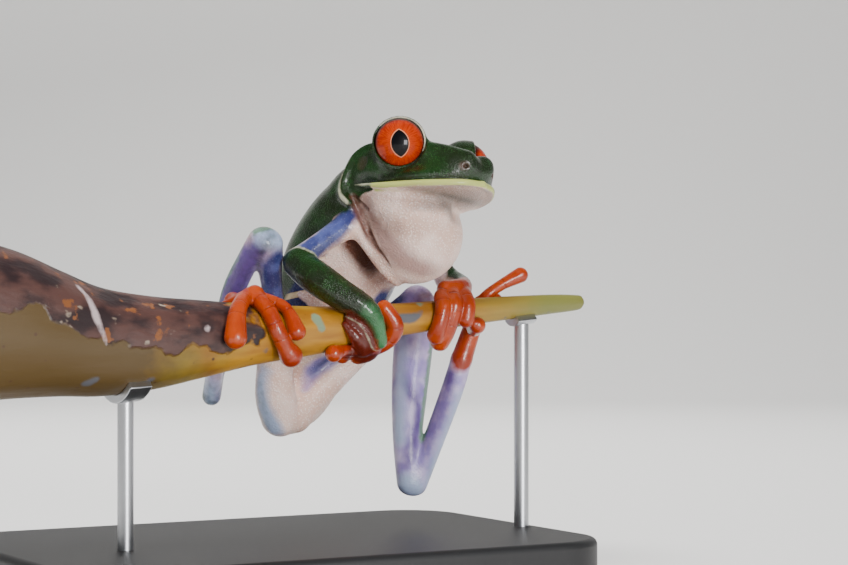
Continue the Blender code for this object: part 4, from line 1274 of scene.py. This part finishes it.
for name, node, side in (("eyeball_left", "eye_left", 1.0), ("eyeball_right", "eye_right", -1.0)):
    form = bmesh.new()
    radius = (EYE_RADIUS - EYEBALL_GAP) * MM
    bmesh.ops.create_uvsphere(form, u_segments=128, v_segments=80, radius=radius)
    mesh = mesh_from(form, name)
    mesh.materials.append(iris)
    eyeball = placed(name, mesh)
    outward = Vector((GAZE.x, -side * GAZE.y, GAZE.z))
    upward = Vector((UPWARD.x, -side * UPWARD.y, UPWARD.z))
    upward = (upward - outward * upward.dot(outward)).normalized()
    turned = Matrix((outward, upward.cross(outward), upward)).transposed().to_4x4()
    eye, _ = eye_axes(side)
    place = eye @ turned @ Matrix.Rotation(math.radians(-EYE_ROLL * side), 4, "X")
    eyeball.matrix_world = Matrix.Scale(MM, 4) @ place @ Matrix.Scale(1.0 / MM, 4)
    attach(eyeball, "root")
    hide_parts(node)

# ---------------------------------------------------------------- floor, lights and camera
# A seamless pale sweep that curves up behind, a soft key light beside the camera, a soft light
# overhead and a rim light from behind. All in metres.
SWEEP = 0.9
path = [(-0.5, 0.0)]
for turn in np.linspace(0, math.pi / 2, 24):
    path.append((0.35 + 0.12 * math.sin(turn), 0.12 - 0.12 * math.cos(turn)))
path.append((0.47, 0.8))
sweep_points = []
for depth, height in path:
    sweep_points += [(-SWEEP, depth, height), (SWEEP, depth, height)]
faces = [(2 * n, 2 * n + 1, 2 * n + 3, 2 * n + 2) for n in range(len(path) - 1)]
sweep = mesh_of("sweep", np.array(sweep_points) / MM, faces)
sweep.matrix_world = Matrix.Rotation(math.radians(-30.0), 4, "Z")
paper, _, surface = material_of("paper")
feed(surface, {"Base Color": (0.78, 0.77, 0.75, 1.0), "Roughness": 0.9})
sweep.data.materials.append(paper)

AIM = Vector((13.1, -8.3, 30.3)) * MM
LOOK = Vector((0.5, 0.8660254, 0.0))
DISTANCE = 243.0 * MM


def light(name, place, power, size):
    """A square soft light that points at the frog."""
    lamp = bpy.data.lights.new(name, "AREA")
    lamp.energy = power
    lamp.size = size
    thing = placed(name, lamp)
    thing.location = place
    thing.rotation_euler = (AIM - Vector(place)).to_track_quat("-Z", "Y").to_euler()
    return thing


SIDE = Vector((0.8660254, -0.5, 0.0))
EYE_LEVEL = Vector((0.0, 0.0, 0.014))
KEY_AWAY = 0.42
key = light("key", AIM + EYE_LEVEL + (0.456 * SIDE - 0.886 * LOOK) * KEY_AWAY, 2.6, 0.11)
key.data.shape = "RECTANGLE"
key.data.size_y = 0.2
overhead = AIM - LOOK * 0.1 - SIDE * 0.12 + Vector((0.0, 0.0, 0.4))
for softbox in (light("overhead", overhead, 2.6, 0.22), light("rim", (0.1, 0.25, 0.3), 1.6, 0.2)):
    softbox.visible_glossy = False

world = bpy.data.worlds.new("studio")
bpy.context.scene.world = world
world.use_nodes = True
feed(world.node_tree.nodes["Background"], {"Color": (0.8, 0.82, 0.85, 1.0), "Strength": 0.2})

# the camera takes in this width, in metres, at the frog
SEEN_WIDTH = 0.08742268
camera_data = bpy.data.cameras.new("camera")
camera_data.sensor_width = 36.0
camera_data.lens = camera_data.sensor_width * DISTANCE / SEEN_WIDTH
camera_data.clip_start = 0.005
camera_data.clip_end = 10.0
camera = placed("camera", camera_data)
camera.location = AIM - LOOK * DISTANCE
camera.rotation_euler = LOOK.to_track_quat("-Z", "Y").to_euler()
bpy.context.scene.camera = camera
